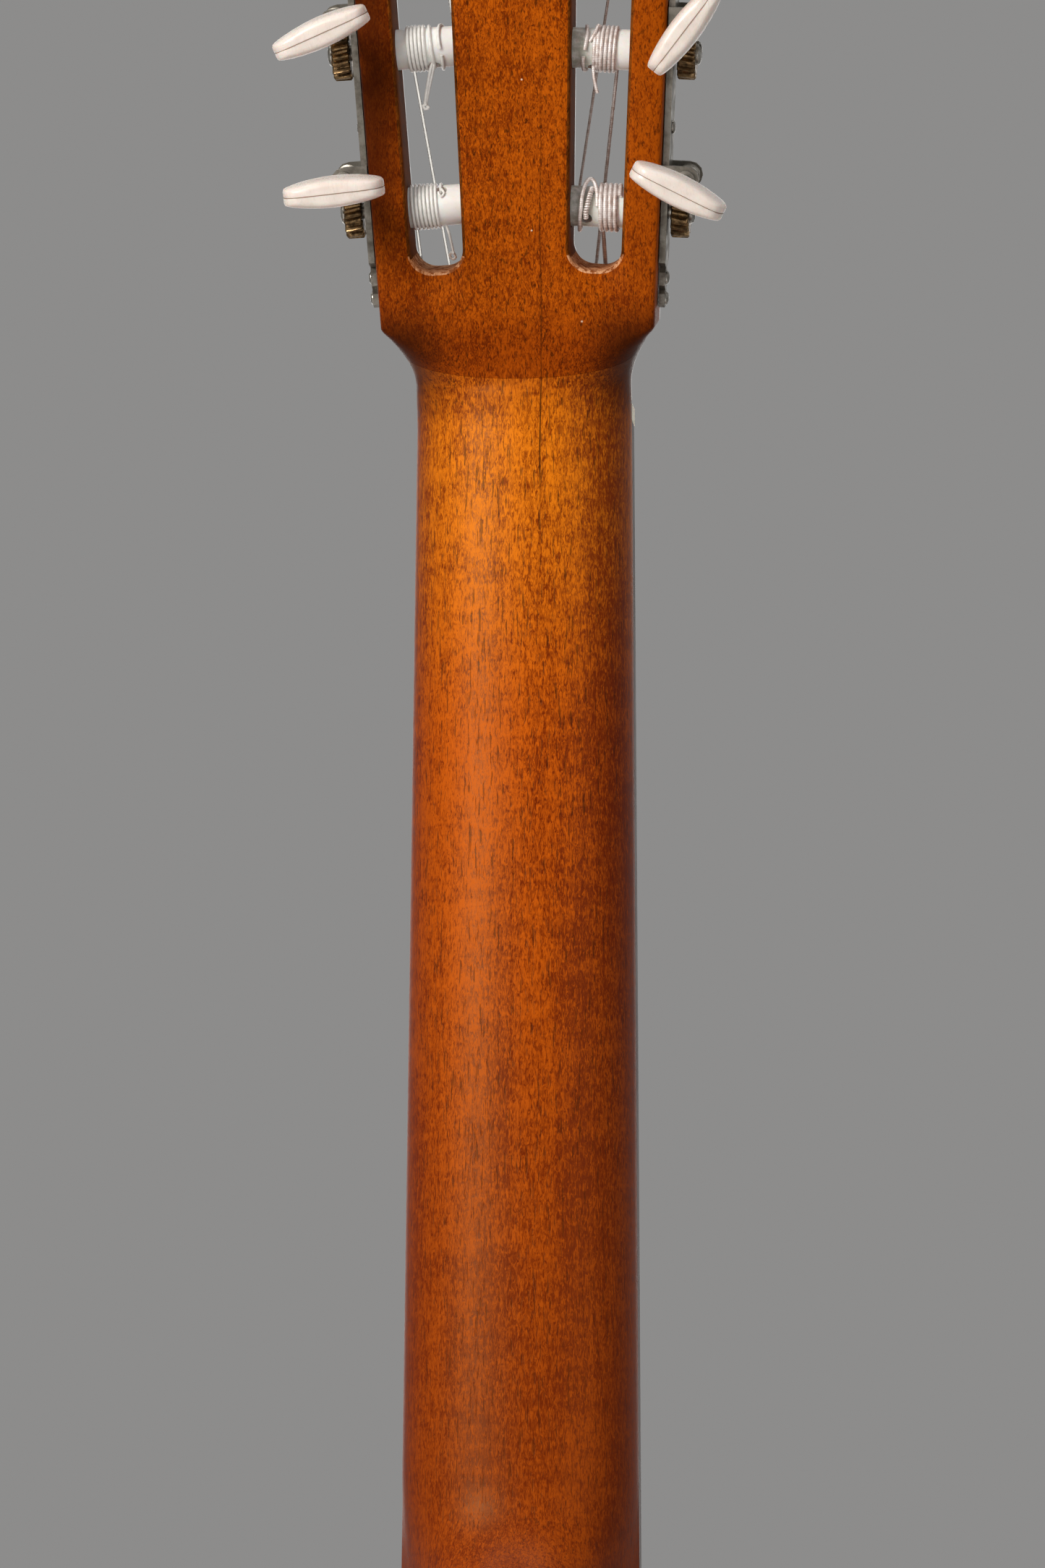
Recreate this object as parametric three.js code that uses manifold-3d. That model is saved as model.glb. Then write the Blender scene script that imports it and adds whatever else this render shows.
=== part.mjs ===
// Classical guitar with a slotted headstock and open worm-gear tuners.
// Millimetres. +Z runs up the neck, the soundboard faces -Y and the treble side is +X.
// The origin is the middle of the flat end of the tail, halfway through the body's depth.

import * as THREE from 'three';
import { mergeVertices } from 'three/addons/utils/BufferGeometryUtils.js';
import Module from 'manifold-3d';

const wasm = await Module();
wasm.setup();

const { cos, sin, tan, sqrt, max, min, PI } = Math;
const TURN = 2 * PI;
const degrees = THREE.MathUtils.degToRad;
const lerp = THREE.MathUtils.lerp;

// ---------------------------------------------------------------- driving dimensions

const GAP = 0.3;                      // between pieces that are glued or pressed together

// body
const BODY_LENGTH = 490;
const BODY_DEPTH_TAIL = 100;
const BODY_DEPTH_NECK = 94;
const BACK_ARCH = 4;
const LOWER_BOUT = 370;
const LOWER_BOUT_Z = 118;
const WAIST = 240;
const WAIST_Z = 278;
const UPPER_BOUT = 280;
const UPPER_BOUT_Z = 392;
const TAIL_FLAT_HALF = 12;
const NECK_FLAT_HALF = 34;
const END_GRAFT_HALF = 9;             // a strip between the ribs at the tail
const OUTLINE_STEPS = 34;             // along each half of the outline
const RIB_THICKNESS = 2.2;
const SOUNDBOARD_THICKNESS = 2.5;
const BACK_THICKNESS = 2.5;
const BINDING_WIDTH = 2.2;
const BINDING_HEIGHT = 5;

// soundhole and rosette
const SOUNDHOLE_Z = 335;
const SOUNDHOLE_RADIUS = 42;
const ROSETTE_INNER_RADIUS = 46;
const ROSETTE_OUTER_RADIUS = 58;
const ROSETTE_DEPTH = 1.1;
const HOLE_STEPS = 40;

// blocks and bars inside the body
const NECK_BLOCK_HALF = 32;
const NECK_BLOCK_LENGTH = 34;
const FOOT_LENGTH = 36;
const FOOT_HEIGHT = 12;
const TAIL_BLOCK_HALF = 24;
const TAIL_BLOCK_LENGTH = 18;
const BAR_WIDTH = 7;
const BAR_HEIGHT = 17;
const BAR_CLEARANCE = 6;              // from a bar's end to the ribs
const UPPER_BAR_Z = 404;
const LOWER_BAR_Z = 281;
const FAN_BRACES = 5;
const FAN_TOP_Z = 268;
const FAN_BOTTOM_Z = 62;
const FAN_SPREAD_TOP = 24;            // between neighbours at the top
const FAN_SPREAD_BOTTOM = 42;
const FAN_WIDTH = 6;
const FAN_HEIGHT = 5;
const FAN_SHORTER = 14;               // for each place away from the middle
const BRACE_END = 30;                 // length over which a brace thins out
const BACK_BRACE_Z = [100, 232, 378];
const BACK_BRACE_HEIGHT = 14;
const BRACE_BEVEL = 1.5;

// neck and heel
const NECK_DEPTH_NUT = 20.5;
const NECK_DEPTH_JOINT = 23;
const HEEL_FOOT = 17;                 // length of the heel cap along the neck
const HEEL_LENGTH = 70;               // from the body to where the heel fades into the neck
const HEEL_CAP_HALF = 13;
const HEEL_CAP_THICKNESS = 2.4;

// fingerboard, nut, strings and bridge
const SCALE = 650;
const FRETS = 19;
const SADDLE_Z = 165;
const NUT_WIDTH = 52;
const JOINT_WIDTH = 58;               // fingerboard width where the neck meets the body
const FINGERBOARD_THICKNESS = 6.5;
const FINGERBOARD_TONGUE = 4;         // past the last fret
const NUT_THICKNESS = 4.2;
const NUT_HEIGHT = 9.6;
const STRING_DIAMETERS = [0.71, 0.82, 1.02, 0.74, 0.89, 1.09];
const STRING_SPREAD_NUT = 43;
const STRING_SPREAD_BRIDGE = 58;
const STRING_RISE_NUT = 8.9;          // string axes in front of the soundboard plane
const STRING_RISE_SADDLE = 12.4;
const STRING_RISE_TIE = 6.2;
const STRING_SIDES = 6;
const BRIDGE_LENGTH = 188;
const BRIDGE_WIDTH = 28;
const BRIDGE_WING_HEIGHT = 3.2;
const BRIDGE_HEIGHT = 8.6;
const BRIDGE_CENTRE_HALF = 42;
const BRIDGE_BEHIND = 19;             // from the saddle to the bridge's tail edge
const TIE_BLOCK_WIDTH = 10;
const SADDLE_RIDGE_HALF = 3.5;
const CHANNEL_FLOOR = 4.7;
const SADDLE_THICKNESS = 2.4;
const SADDLE_HALF = 40;
const SADDLE_SLOT_DEPTH = 4;

// headstock
const HEAD_TILT = degrees(16.1);
const HEAD_LENGTH = 178;
const HEAD_THICKNESS = 18.9;
const VENEER_THICKNESS = 1.9;
const SHOULDER_HALF = 33.1;
const SHOULDER_W = 20.2;              // from the nut, along the head
const FLARE_START_W = 6;
const SPLAY = degrees(3.34);          // each side leans out towards the tip
const CREST_DROP = 13;
const SCARF_SLOPE = 1.1;              // fall of the scarf joint for each millimetre towards the back
const SCARF_RISE = 7.3;               // above the nut, at the neck's back
const FAR = 1200;                     // well outside the whole guitar
const RAIL = 8.66;                    // wood between a slot and the side of the head
const SLOT_WIDTH = 12.6;
const SLOT_START = 12.9;              // from the shoulder, along the side
const SLOT_OPENING = degrees(1.7);    // between a slot's two long edges
const SLOT_CORNER = 4.6;
const SLOT_PAST_ROLLER = 15.5;
const RAMP_CLEARANCE = 1.4;
const RAMP_INSET = 0.6;               // a ramp is narrower than its slot, on each side
const ROLLER_CUT_DEPTH = 0.5;         // how far a string's end stays in front of its roller

// tuners; each side has three, the first one nearest the nut
const TREBLE_TUNER_START = 28.1;      // from the shoulder, along the side
const BASS_TUNER_START = 27.4;
const TUNER_SPACING = 38.2;
const ROLLER_DEPTH = 9.5;             // behind the head's front face
const ROLLER_RADIUS = 4.9;
const ROLLER_CLEARANCE = 0.35;
const ROLLER_IN_BAR = 6;
const AXLE_RADIUS = 1.9;
const RUNNING = 0.35;                 // radial clearance of turning pieces
const PLATE_THICKNESS = 1.5;
const PLATE_WIDTH = 12.5;
const PLATE_END = 23.4;               // past the first and the last tuner
const EAR_THICKNESS = 1.1;
const EAR_RADIUS = 3.2;
const EAR_SPAN = 12.6;                // between the two ears of one worm
const GEAR_TEETH = 15;
const GEAR_PITCH_RADIUS = 5.9;
const GEAR_TIP_RADIUS = 6.5;
const GEAR_ROOT_RADIUS = 5.05;
const GEAR_WIDTH = 4.4;
const WORM_OFFSET = 8.25;             // between the roller's axis and the worm's
const GEAR_MIDDLE = 4.8;              // middle of a gear's width, outside the head's side
const WORM_OUT = 6;                   // worm axis outside the head's side
const WORM_TIP_RADIUS = 2.85;
const WORM_ROOT_RADIUS = 1.45;
const WORM_TURNS = 4;
const WORM_STEPS = 8;
const THREAD_HALF_ROOT = 0.55;        // the thread is wider at its root than at its tip
const THREAD_HALF_TIP = 0.16;
const BUTTON_BEHIND = 21;             // hub end, behind the roller's axis
const BUTTON_LENGTH = 18.5;
const BUTTON_HALF = 12.2;
const BUTTON_THICK_HALF = 3.5;
const SHAFT_IN_BUTTON = 9;
const BUTTON_ANGLES = [-2.5, -20, 35, -14, -55, 24];

// ---------------------------------------------------------------- derived places

const FRONT_Y = -BODY_DEPTH_TAIL / 2;
const NUT_Z = SADDLE_Z + SCALE;
const HEAD_Z = NUT_Z + GAP + NUT_THICKNESS;
const FINGERBOARD_BACK = FRONT_Y - GAP;
const FINGERBOARD_FRONT = FINGERBOARD_BACK - FINGERBOARD_THICKNESS;
const HEAD_WOOD_D = VENEER_THICKNESS + GAP;
const WORM_PITCH = (TURN * GEAR_PITCH_RADIUS) / GEAR_TEETH;
const SHAFT_START = -EAR_SPAN / 2 - EAR_THICKNESS - 1;

function fretZ(number) {
  return NUT_Z - SCALE * (1 - 2 ** (-number / 12));
}

function fingerboardHalf(z) {
  const share = (NUT_Z - z) / (NUT_Z - BODY_LENGTH);
  return lerp(NUT_WIDTH, JOINT_WIDTH, share) / 2;
}

// ---------------------------------------------------------------- solid helpers

const v2 = (x, y) => new THREE.Vector2(x, y);
const v3 = (x, y, z) => new THREE.Vector3(x, y, z);

function signedVolume(geometry) {
  const points = geometry.getAttribute('position');
  const index = geometry.getIndex();
  const corner = (i) => v3().fromBufferAttribute(points, index.getX(i));
  let volume = 0;
  for (let i = 0; i < index.count; i += 3) {
    volume += corner(i).dot(corner(i + 1).cross(corner(i + 2))) / 6;
  }
  return volume;
}

function facingOut(geometry) {
  if (signedVolume(geometry) > 0) return geometry;
  const order = geometry.getIndex().array;
  for (let i = 0; i < order.length; i += 3) {
    [order[i], order[i + 1]] = [order[i + 1], order[i]];
  }
  return geometry;
}

function solid(points, triangles) {
  const geometry = new THREE.BufferGeometry().setFromPoints(points);
  geometry.setIndex(triangles.flat());
  return facingOut(geometry);
}

// A flat outline with holes, swept from low to high; place turns (a, b, level) into a point.
function prism(outline, low, high, place, holes = []) {
  const turned = (loop, clockwise) =>
    THREE.ShapeUtils.isClockWise(loop) === clockwise ? loop : [...loop].reverse();
  const loops = [turned(outline, false), ...holes.map((hole) => turned(hole, true))];
  const flat = loops.flat();
  const count = flat.length;
  const points = [low, high].flatMap((level) => flat.map((p) => place(p.x, p.y, level)));
  const triangles = [];
  for (const [a, b, c] of THREE.ShapeUtils.triangulateShape(loops[0], loops.slice(1))) {
    triangles.push([c, b, a], [a + count, b + count, c + count]);
  }
  let start = 0;
  for (const loop of loops) {
    for (let i = 0; i < loop.length; i += 1) {
      const here = start + i;
      const next = start + ((i + 1) % loop.length);
      triangles.push([here, next, next + count], [here, next + count, here + count]);
    }
    start += loop.length;
  }
  return solid(points, triangles);
}

// A skin through rings of equal length, closed by flat ends or joined into a loop.
function loft(rings, looped = false) {
  const size = rings[0].length;
  const triangles = [];
  const spans = looped ? rings.length : rings.length - 1;
  for (let k = 0; k < spans; k += 1) {
    for (let i = 0; i < size; i += 1) {
      const a = k * size + i;
      const b = k * size + ((i + 1) % size);
      const c = ((k + 1) % rings.length) * size + ((i + 1) % size);
      const d = ((k + 1) % rings.length) * size + i;
      triangles.push([a, b, c], [a, c, d]);
    }
  }
  if (!looped) {
    const last = (rings.length - 1) * size;
    for (const [a, b, c] of capTriangles(rings[0])) triangles.push([c, b, a]);
    for (const [a, b, c] of capTriangles(rings.at(-1))) triangles.push([a + last, b + last, c + last]);
  }
  return solid(rings.flat(), triangles);
}

function capTriangles(ring) {
  const normal = v3(0, 0, 0);
  ring.forEach((point, i) => normal.add(point.clone().cross(ring[(i + 1) % ring.length])));
  normal.normalize();
  const across = ring[1].clone().sub(ring[0]).projectOnPlane(normal).normalize();
  const up = normal.clone().cross(across);
  const flat = ring.map((point) => v2(point.dot(across), point.dot(up)));
  return THREE.ShapeUtils.triangulateShape(flat, []);
}

function box(lowX, highX, lowY, highY, lowZ, highZ) {
  const geometry = new THREE.BoxGeometry(highX - lowX, highY - lowY, highZ - lowZ);
  return geometry.translate((lowX + highX) / 2, (lowY + highY) / 2, (lowZ + highZ) / 2);
}

function circle(centreX, centreY, radius, steps) {
  return Array.from({ length: steps }, (_, i) => {
    const angle = (TURN * (i + 0.5)) / steps;
    return v2(centreX + radius * cos(angle), centreY + radius * sin(angle));
  });
}

// A round bar along X, turned from [x, radius] pairs that start and end on the axis.
function turnedAlongX(profile, steps, side) {
  const geometry = new THREE.LatheGeometry(profile.map(([x, radius]) => v2(radius, x)), steps);
  geometry.rotateZ((-side * PI) / 2);
  return facingOut(geometry);
}

function rodAlongX(low, high, radius, steps) {
  return turnedAlongX([[low, 0], [low, radius], [high, radius], [high, 0]], steps, 1);
}

function toManifold(geometry) {
  const bare = geometry.clone();
  bare.deleteAttribute('normal');
  bare.deleteAttribute('uv');
  const merged = facingOut(mergeVertices(bare, 1e-4));
  return new wasm.Manifold(new wasm.Mesh({
    numProp: 3,
    vertProperties: new Float32Array(merged.getAttribute('position').array),
    triVerts: new Uint32Array(merged.getIndex().array),
  }));
}

function fromManifold(manifold) {
  const mesh = manifold.getMesh();
  const geometry = new THREE.BufferGeometry();
  geometry.setAttribute('position', new THREE.BufferAttribute(mesh.vertProperties, 3));
  geometry.setIndex(new THREE.BufferAttribute(mesh.triVerts, 1));
  return geometry;
}

function join(...geometries) {
  const [first, ...rest] = geometries.map(toManifold);
  return fromManifold(rest.reduce((whole, part) => whole.add(part), first));
}

function cut(geometry, ...cutters) {
  const whole = toManifold(geometry);
  return fromManifold(cutters.map(toManifold).reduce((left, cutter) => left.subtract(cutter), whole));
}

function overlap(geometry, region) {
  return fromManifold(toManifold(geometry).intersect(toManifold(region)));
}

const inXZ = (x, z, y) => v3(x, y, z);
const inYZ = (y, z, x) => v3(x, y, z);
const inXY = (x, y, z) => v3(x, y, z);

// ---------------------------------------------------------------- materials

const MATERIALS = {
  spruce: [0xd9a860, 0.4, 0],
  mahogany: [0x9a4a17, 0.35, 0],
  block_wood: [0xb98b5e, 0.7, 0],
  ebony: [0x2c1c16, 0.5, 0],
  binding: [0x3a1d10, 0.35, 0],
  rosette: [0x6d4a2c, 0.4, 0],
  bone: [0xeae3d2, 0.45, 0],
  nickel: [0xb9b6ae, 0.3, 1],
  bronze: [0x5a4a38, 0.4, 1],
  nylon_white: [0xece8df, 0.4, 0],
  button_cream: [0xe9e4d8, 0.35, 0],
  string_nylon: [0xe6e6e2, 0.2, 0],
  string_wound: [0xa9a294, 0.35, 1],
};

function part(name, geometry, material) {
  const [color, roughness, metalness] = MATERIALS[material];
  const mesh = new THREE.Mesh(geometry, new THREE.MeshStandardMaterial({ color, roughness, metalness }));
  mesh.name = name;
  return mesh;
}

// ---------------------------------------------------------------- body outline

const lowerHalf = LOWER_BOUT / 2;
const waistHalf = WAIST / 2;
const upperHalf = UPPER_BOUT / 2;

const outlineCurve = new THREE.CatmullRomCurve3([
  v3(TAIL_FLAT_HALF, 0, 0),
  v3(0.36 * lowerHalf, 0, 0.045 * LOWER_BOUT_Z),
  v3(0.66 * lowerHalf, 0, 0.2 * LOWER_BOUT_Z),
  v3(0.9 * lowerHalf, 0, 0.53 * LOWER_BOUT_Z),
  v3(lowerHalf, 0, LOWER_BOUT_Z),
  v3(lerp(waistHalf, lowerHalf, 0.88), 0, lerp(LOWER_BOUT_Z, WAIST_Z, 0.35)),
  v3(lerp(waistHalf, lowerHalf, 0.4), 0, lerp(LOWER_BOUT_Z, WAIST_Z, 0.66)),
  v3(waistHalf, 0, WAIST_Z),
  v3(lerp(waistHalf, upperHalf, 0.35), 0, lerp(WAIST_Z, UPPER_BOUT_Z, 0.4)),
  v3(lerp(waistHalf, upperHalf, 0.82), 0, lerp(WAIST_Z, UPPER_BOUT_Z, 0.7)),
  v3(upperHalf, 0, UPPER_BOUT_Z),
  v3(0.95 * upperHalf, 0, lerp(UPPER_BOUT_Z, BODY_LENGTH, 0.4)),
  v3(0.78 * upperHalf, 0, lerp(UPPER_BOUT_Z, BODY_LENGTH, 0.74)),
  v3(0.52 * upperHalf, 0, lerp(UPPER_BOUT_Z, BODY_LENGTH, 0.93)),
  v3(NECK_FLAT_HALF, 0, BODY_LENGTH),
], false, 'centripetal');

// The treble half of the outline, from the tail to the neck, moved inwards by inset.
function halfOutline(inset) {
  const points = [v2(0, inset)];
  for (let i = 0; i <= OUTLINE_STEPS; i += 1) {
    const share = i / OUTLINE_STEPS;
    const here = outlineCurve.getPointAt(share);
    const along = outlineCurve.getTangentAt(share);
    const level = i === 0 || i === OUTLINE_STEPS;
    const inward = level ? v2(0, i === 0 ? 1 : -1) : v2(-along.z, along.x);
    points.push(v2(here.x, here.z).addScaledVector(inward, inset));
  }
  points.push(v2(0, BODY_LENGTH - inset));
  return points;
}

function mirrored(half) {
  return [...half, ...half.slice(1, -1).reverse().map((p) => v2(-p.x, p.y))];
}

function halfWidthAt(z) {
  const half = halfOutline(0);
  const after = half.findIndex((p) => p.y >= z);
  const [a, b] = [half[after - 1], half[after]];
  return lerp(a.x, b.x, (z - a.y) / (b.y - a.y));
}

// The outer face of the arched back.
function backY(x, z) {
  const edge = lerp(BODY_DEPTH_TAIL, BODY_DEPTH_NECK, z / BODY_LENGTH) + FRONT_Y;
  return edge + BACK_ARCH * (1 - (x / lowerHalf) ** 2);
}

// ---------------------------------------------------------------- plates, ribs and bindings

function soundboard() {
  const edge = mirrored(halfOutline(BINDING_WIDTH + GAP));
  const hole = circle(0, SOUNDHOLE_Z, SOUNDHOLE_RADIUS, HOLE_STEPS);
  const plate = prism(edge, FRONT_Y, FRONT_Y + SOUNDBOARD_THICKNESS, inXZ, [hole]);
  const groove = prism(
    circle(0, SOUNDHOLE_Z, ROSETTE_OUTER_RADIUS + GAP, HOLE_STEPS), FRONT_Y - 1,
    FRONT_Y + ROSETTE_DEPTH + GAP, inXZ,
    [circle(0, SOUNDHOLE_Z, ROSETTE_INNER_RADIUS - GAP, HOLE_STEPS)],
  );
  return cut(plate, groove);
}

function rosette() {
  const outer = circle(0, SOUNDHOLE_Z, ROSETTE_OUTER_RADIUS, HOLE_STEPS);
  const inner = circle(0, SOUNDHOLE_Z, ROSETTE_INNER_RADIUS, HOLE_STEPS);
  return prism(outer, FRONT_Y, FRONT_Y + ROSETTE_DEPTH, inXZ, [inner]);
}

// Rows across the body carry the arch of the back.
function backPlate() {
  const columns = [-1, -0.5, 0, 0.5, 1];
  const edge = halfOutline(BINDING_WIDTH + GAP).slice(1, -1);
  const rings = edge.map(({ x, y: z }) => {
    const outer = columns.map((share) => v3(share * x, backY(share * x, z), z));
    const inner = columns.map((share) => v3(share * x, backY(share * x, z) - BACK_THICKNESS, z));
    return [...outer, ...inner.reverse()];
  });
  return loft(rings);
}

function rib(side) {
  const outer = halfOutline(0);
  const inner = halfOutline(RIB_THICKNESS);
  const front = FRONT_Y + BINDING_HEIGHT + GAP;
  const rings = outer.map((out, i) => {
    const ends = { 0: END_GRAFT_HALF + GAP, [outer.length - 1]: GAP / 2 };
    const [x, inX] = i in ends ? [ends[i], ends[i]] : [out.x, inner[i].x];
    const back = backY(out.x, out.y) - BINDING_HEIGHT - GAP;
    return [
      v3(side * x, front, out.y), v3(side * x, back, out.y),
      v3(side * inX, back, inner[i].y), v3(side * inX, front, inner[i].y),
    ];
  });
  return loft(rings);
}

function endGraft() {
  const front = FRONT_Y + BINDING_HEIGHT + GAP;
  const back = backY(END_GRAFT_HALF, 0) - BINDING_HEIGHT - GAP;
  return box(-END_GRAFT_HALF, END_GRAFT_HALF, front, back, 0, RIB_THICKNESS);
}

function binding(outerY, innerY) {
  const outer = mirrored(halfOutline(0));
  const inner = mirrored(halfOutline(BINDING_WIDTH));
  const rings = outer.map((out, i) => [
    v3(out.x, outerY(out.x, out.y), out.y), v3(out.x, innerY(out.x, out.y), out.y),
    v3(inner[i].x, innerY(out.x, out.y), inner[i].y), v3(inner[i].x, outerY(out.x, out.y), inner[i].y),
  ]);
  return loft(rings, true);
}

// ---------------------------------------------------------------- inside the body

const UNDER_TOP = FRONT_Y + SOUNDBOARD_THICKNESS + GAP;

function neckBlock() {
  const top = BODY_LENGTH - RIB_THICKNESS - GAP;
  const bottom = top - NECK_BLOCK_LENGTH;
  const foot = bottom - FOOT_LENGTH;
  const backAt = (z) => backY(NECK_BLOCK_HALF, z) - BINDING_HEIGHT - GAP;
  const profile = [
    v2(UNDER_TOP, top), v2(UNDER_TOP, bottom), v2(backAt(foot) - FOOT_HEIGHT, bottom),
    v2(backAt(foot) - FOOT_HEIGHT, foot), v2(backAt(foot) - 1, foot), v2(backAt(top) - 1, top),
  ];
  return prism(profile, -NECK_BLOCK_HALF, NECK_BLOCK_HALF, inYZ);
}

// The block's end follows the curve of the ribs' inner faces.
function tailBlock() {
  const inner = halfOutline(RIB_THICKNESS + 2 * GAP);
  const end = inner.filter((p) => p.x < TAIL_BLOCK_HALF && p.y < LOWER_BOUT_Z);
  const top = inner[0].y + TAIL_BLOCK_LENGTH;
  const lastZ = end.at(-1).y + (TAIL_BLOCK_HALF - end.at(-1).x) / 2;
  const right = [...end, v2(TAIL_BLOCK_HALF, lastZ), v2(TAIL_BLOCK_HALF, top)];
  const left = [...right].reverse().filter((p) => p.x > 0).map((p) => v2(-p.x, p.y));
  const back = backY(TAIL_BLOCK_HALF, 0) - BINDING_HEIGHT - 1;
  return prism([...right, ...left], UNDER_TOP, back, inXZ);
}

// A bar across the body under the soundboard, with its ends thinned.
function harmonicBar(z) {
  const half = min(halfWidthAt(z - BAR_WIDTH), halfWidthAt(z + BAR_WIDTH)) - BAR_CLEARANCE;
  const taper = 0.3 * half;
  const profile = [
    v2(-half, UNDER_TOP), v2(half, UNDER_TOP), v2(half, UNDER_TOP + BAR_HEIGHT / 3),
    v2(half - taper, UNDER_TOP + BAR_HEIGHT), v2(taper - half, UNDER_TOP + BAR_HEIGHT),
    v2(-half, UNDER_TOP + BAR_HEIGHT / 3),
  ];
  return prism(profile, z - BAR_WIDTH / 2, z + BAR_WIDTH / 2, inXY);
}

function fanBrace(number) {
  const place = number - (FAN_BRACES - 1) / 2;
  const short = Math.abs(place) * FAN_SHORTER;
  const ring = (x, z, height) => [
    v3(x - FAN_WIDTH / 2, UNDER_TOP, z), v3(x + FAN_WIDTH / 2, UNDER_TOP, z),
    v3(x + FAN_WIDTH / 4, UNDER_TOP + height, z), v3(x - FAN_WIDTH / 4, UNDER_TOP + height, z),
  ];
  const [low, high] = [FAN_BOTTOM_Z + short, FAN_TOP_Z];
  const at = (z) => place * lerp(FAN_SPREAD_BOTTOM, FAN_SPREAD_TOP, (z - low) / (high - low));
  const stations = [[low, 0.3], [low + BRACE_END, 1], [high - BRACE_END, 1], [high, 0.3]];
  return loft(stations.map(([z, share]) => ring(at(z), z, share * FAN_HEIGHT)));
}

function backBrace(z) {
  const half = min(halfWidthAt(z - BAR_WIDTH), halfWidthAt(z + BAR_WIDTH)) - BAR_CLEARANCE;
  const low = z - BAR_WIDTH / 2;
  const high = z + BAR_WIDTH / 2;
  const rings = [-1, -0.75, -0.4, 0, 0.4, 0.75, 1].map((share) => {
    const x = share * half;
    const glued = (level) => backY(x, level) - BACK_THICKNESS - GAP;
    const crest = glued(high) - (Math.abs(share) > 0.9 ? 0.35 : 1) * BACK_BRACE_HEIGHT;
    return [
      v3(x, glued(low), low), v3(x, glued(high), high),
      v3(x, crest, high - BRACE_BEVEL), v3(x, crest, low + BRACE_BEVEL),
    ];
  });
  return loft(rings);
}

// ---------------------------------------------------------------- neck and headstock

// Places on the head: u across, w along it from the nut, d behind its front face.
function headPoint(u, w, d) {
  const y = FRONT_Y + d * cos(HEAD_TILT) + w * sin(HEAD_TILT);
  const z = HEAD_Z + w * cos(HEAD_TILT) - d * sin(HEAD_TILT);
  return v3(u, y, z);
}

const SECTION_STATIONS = [0, 0.25, 0.5, 0.68, 0.82, 0.92, 0.98, 1];

// One section of the neck as [across, depth] pairs: round at 0 square, a slab at 1.
function neckSection(half, depth, square) {
  const side = SECTION_STATIONS.map((share) => {
    const round = share < 1 ? sqrt(1 - share ** 2.4) : 0.1;
    const slab = share < 1 ? 1 : 0.985;
    return v2(half * lerp(round, slab, square), depth * share);
  });
  return [...side, ...side.map((p) => v2(-p.x, p.y)).reverse()];
}

const HEEL_BACK = backY(0, BODY_LENGTH) - HEEL_CAP_THICKNESS - GAP;

function heelCapHalf(z) {
  const share = min(1, (z - BODY_LENGTH) / (HEEL_FOOT + 0.5));
  return max(2, HEEL_CAP_HALF * sqrt(1 - share ** 2));
}

// Sections of the neck from the body up, with the heel deepening towards the body.
function neckRing(z) {
  const half = fingerboardHalf(z);
  const depth = lerp(NECK_DEPTH_JOINT, NECK_DEPTH_NUT, (z - BODY_LENGTH) / (NUT_Z - BODY_LENGTH));
  const fade = max(0, min(1, (z - BODY_LENGTH - HEEL_FOOT) / (HEEL_LENGTH - HEEL_FOOT)));
  const heel = (1 - fade) ** 3;
  const fullDepth = HEEL_BACK - FRONT_Y;
  const total = lerp(depth, fullDepth, heel);
  const plain = neckSection(half, total, 0);
  const shaped = plain.map((p) => {
    const share = p.y / total;
    const wide = lerp(half, heelCapHalf(min(z, BODY_LENGTH + HEEL_FOOT)), share ** 0.8);
    return v2(lerp(Math.abs(p.x), wide, heel ** 0.5) * Math.sign(p.x), p.y);
  });
  return shaped.map((p) => v3(p.x, FRONT_Y + p.y, z));
}

function flareHalf(w) {
  const share = max(0, min(1, (w - FLARE_START_W) / (SHOULDER_W - FLARE_START_W)));
  return lerp(NUT_WIDTH / 2, SHOULDER_HALF, share ** 1.6);
}

function sideHalf(w) {
  return SHOULDER_HALF + (w - SHOULDER_W) * tan(SPLAY);
}

// The head's front outline from startW to the crest.
function headOutline(startW) {
  const flare = [0, 0.25, 0.5, 0.75, 1].map((share) => {
    const w = lerp(startW, SHOULDER_W, share);
    return v2(flareHalf(w), w);
  });
  const top = HEAD_LENGTH - CREST_DROP;
  const half = sideHalf(top);
  const crest = [[1, 0], [0.94, 0.42], [0.82, 0.66], [0.62, 0.62], [0.42, 0.66], [0.22, 0.88]];
  const right = [...flare, ...crest.map(([across, up]) => v2(across * half, top + up * CREST_DROP))];
  return [...right, v2(0, HEAD_LENGTH), ...[...right].reverse().map((p) => v2(-p.x, p.y))];
}

function headTransition() {
  const woodDepth = HEAD_THICKNESS - HEAD_WOOD_D;
  const stations = [
    { w: 0.5, tilt: 0.35, depth: woodDepth + 1.1, square: 0.08 },
    { w: 4, tilt: 0.7, depth: woodDepth + 0.4, square: 0.2 },
    { w: 9, tilt: 1, depth: woodDepth, square: 0.42 },
    { w: 14.5, tilt: 1, depth: woodDepth, square: 0.74 },
    { w: SHOULDER_W, tilt: 1, depth: woodDepth, square: 1 },
    { w: SHOULDER_W + 6, tilt: 1, depth: woodDepth, square: 1 },
  ];
  const rings = stations.map(({ w, tilt, depth, square }) => {
    const front = headPoint(0, w, HEAD_WOOD_D);
    const half = w > SHOULDER_W ? sideHalf(w) - 0.5 : flareHalf(w);
    const angle = tilt * HEAD_TILT;
    return neckSection(half, depth, square).map((p) =>
      v3(p.x, front.y + p.y * cos(angle), front.z - p.y * sin(angle)));
  });
  return loft([neckRing(NUT_Z - 12), neckRing(HEAD_Z - 1.5), ...rings]);
}

function inHead(side, along, out) {
  const u = side * (SHOULDER_HALF + along * sin(SPLAY) + out * cos(SPLAY));
  return v2(u, SHOULDER_W + along * cos(SPLAY) - out * sin(SPLAY));
}

function tunerAlong(side, place) {
  return (side > 0 ? TREBLE_TUNER_START : BASS_TUNER_START) + place * TUNER_SPACING;
}

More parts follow.
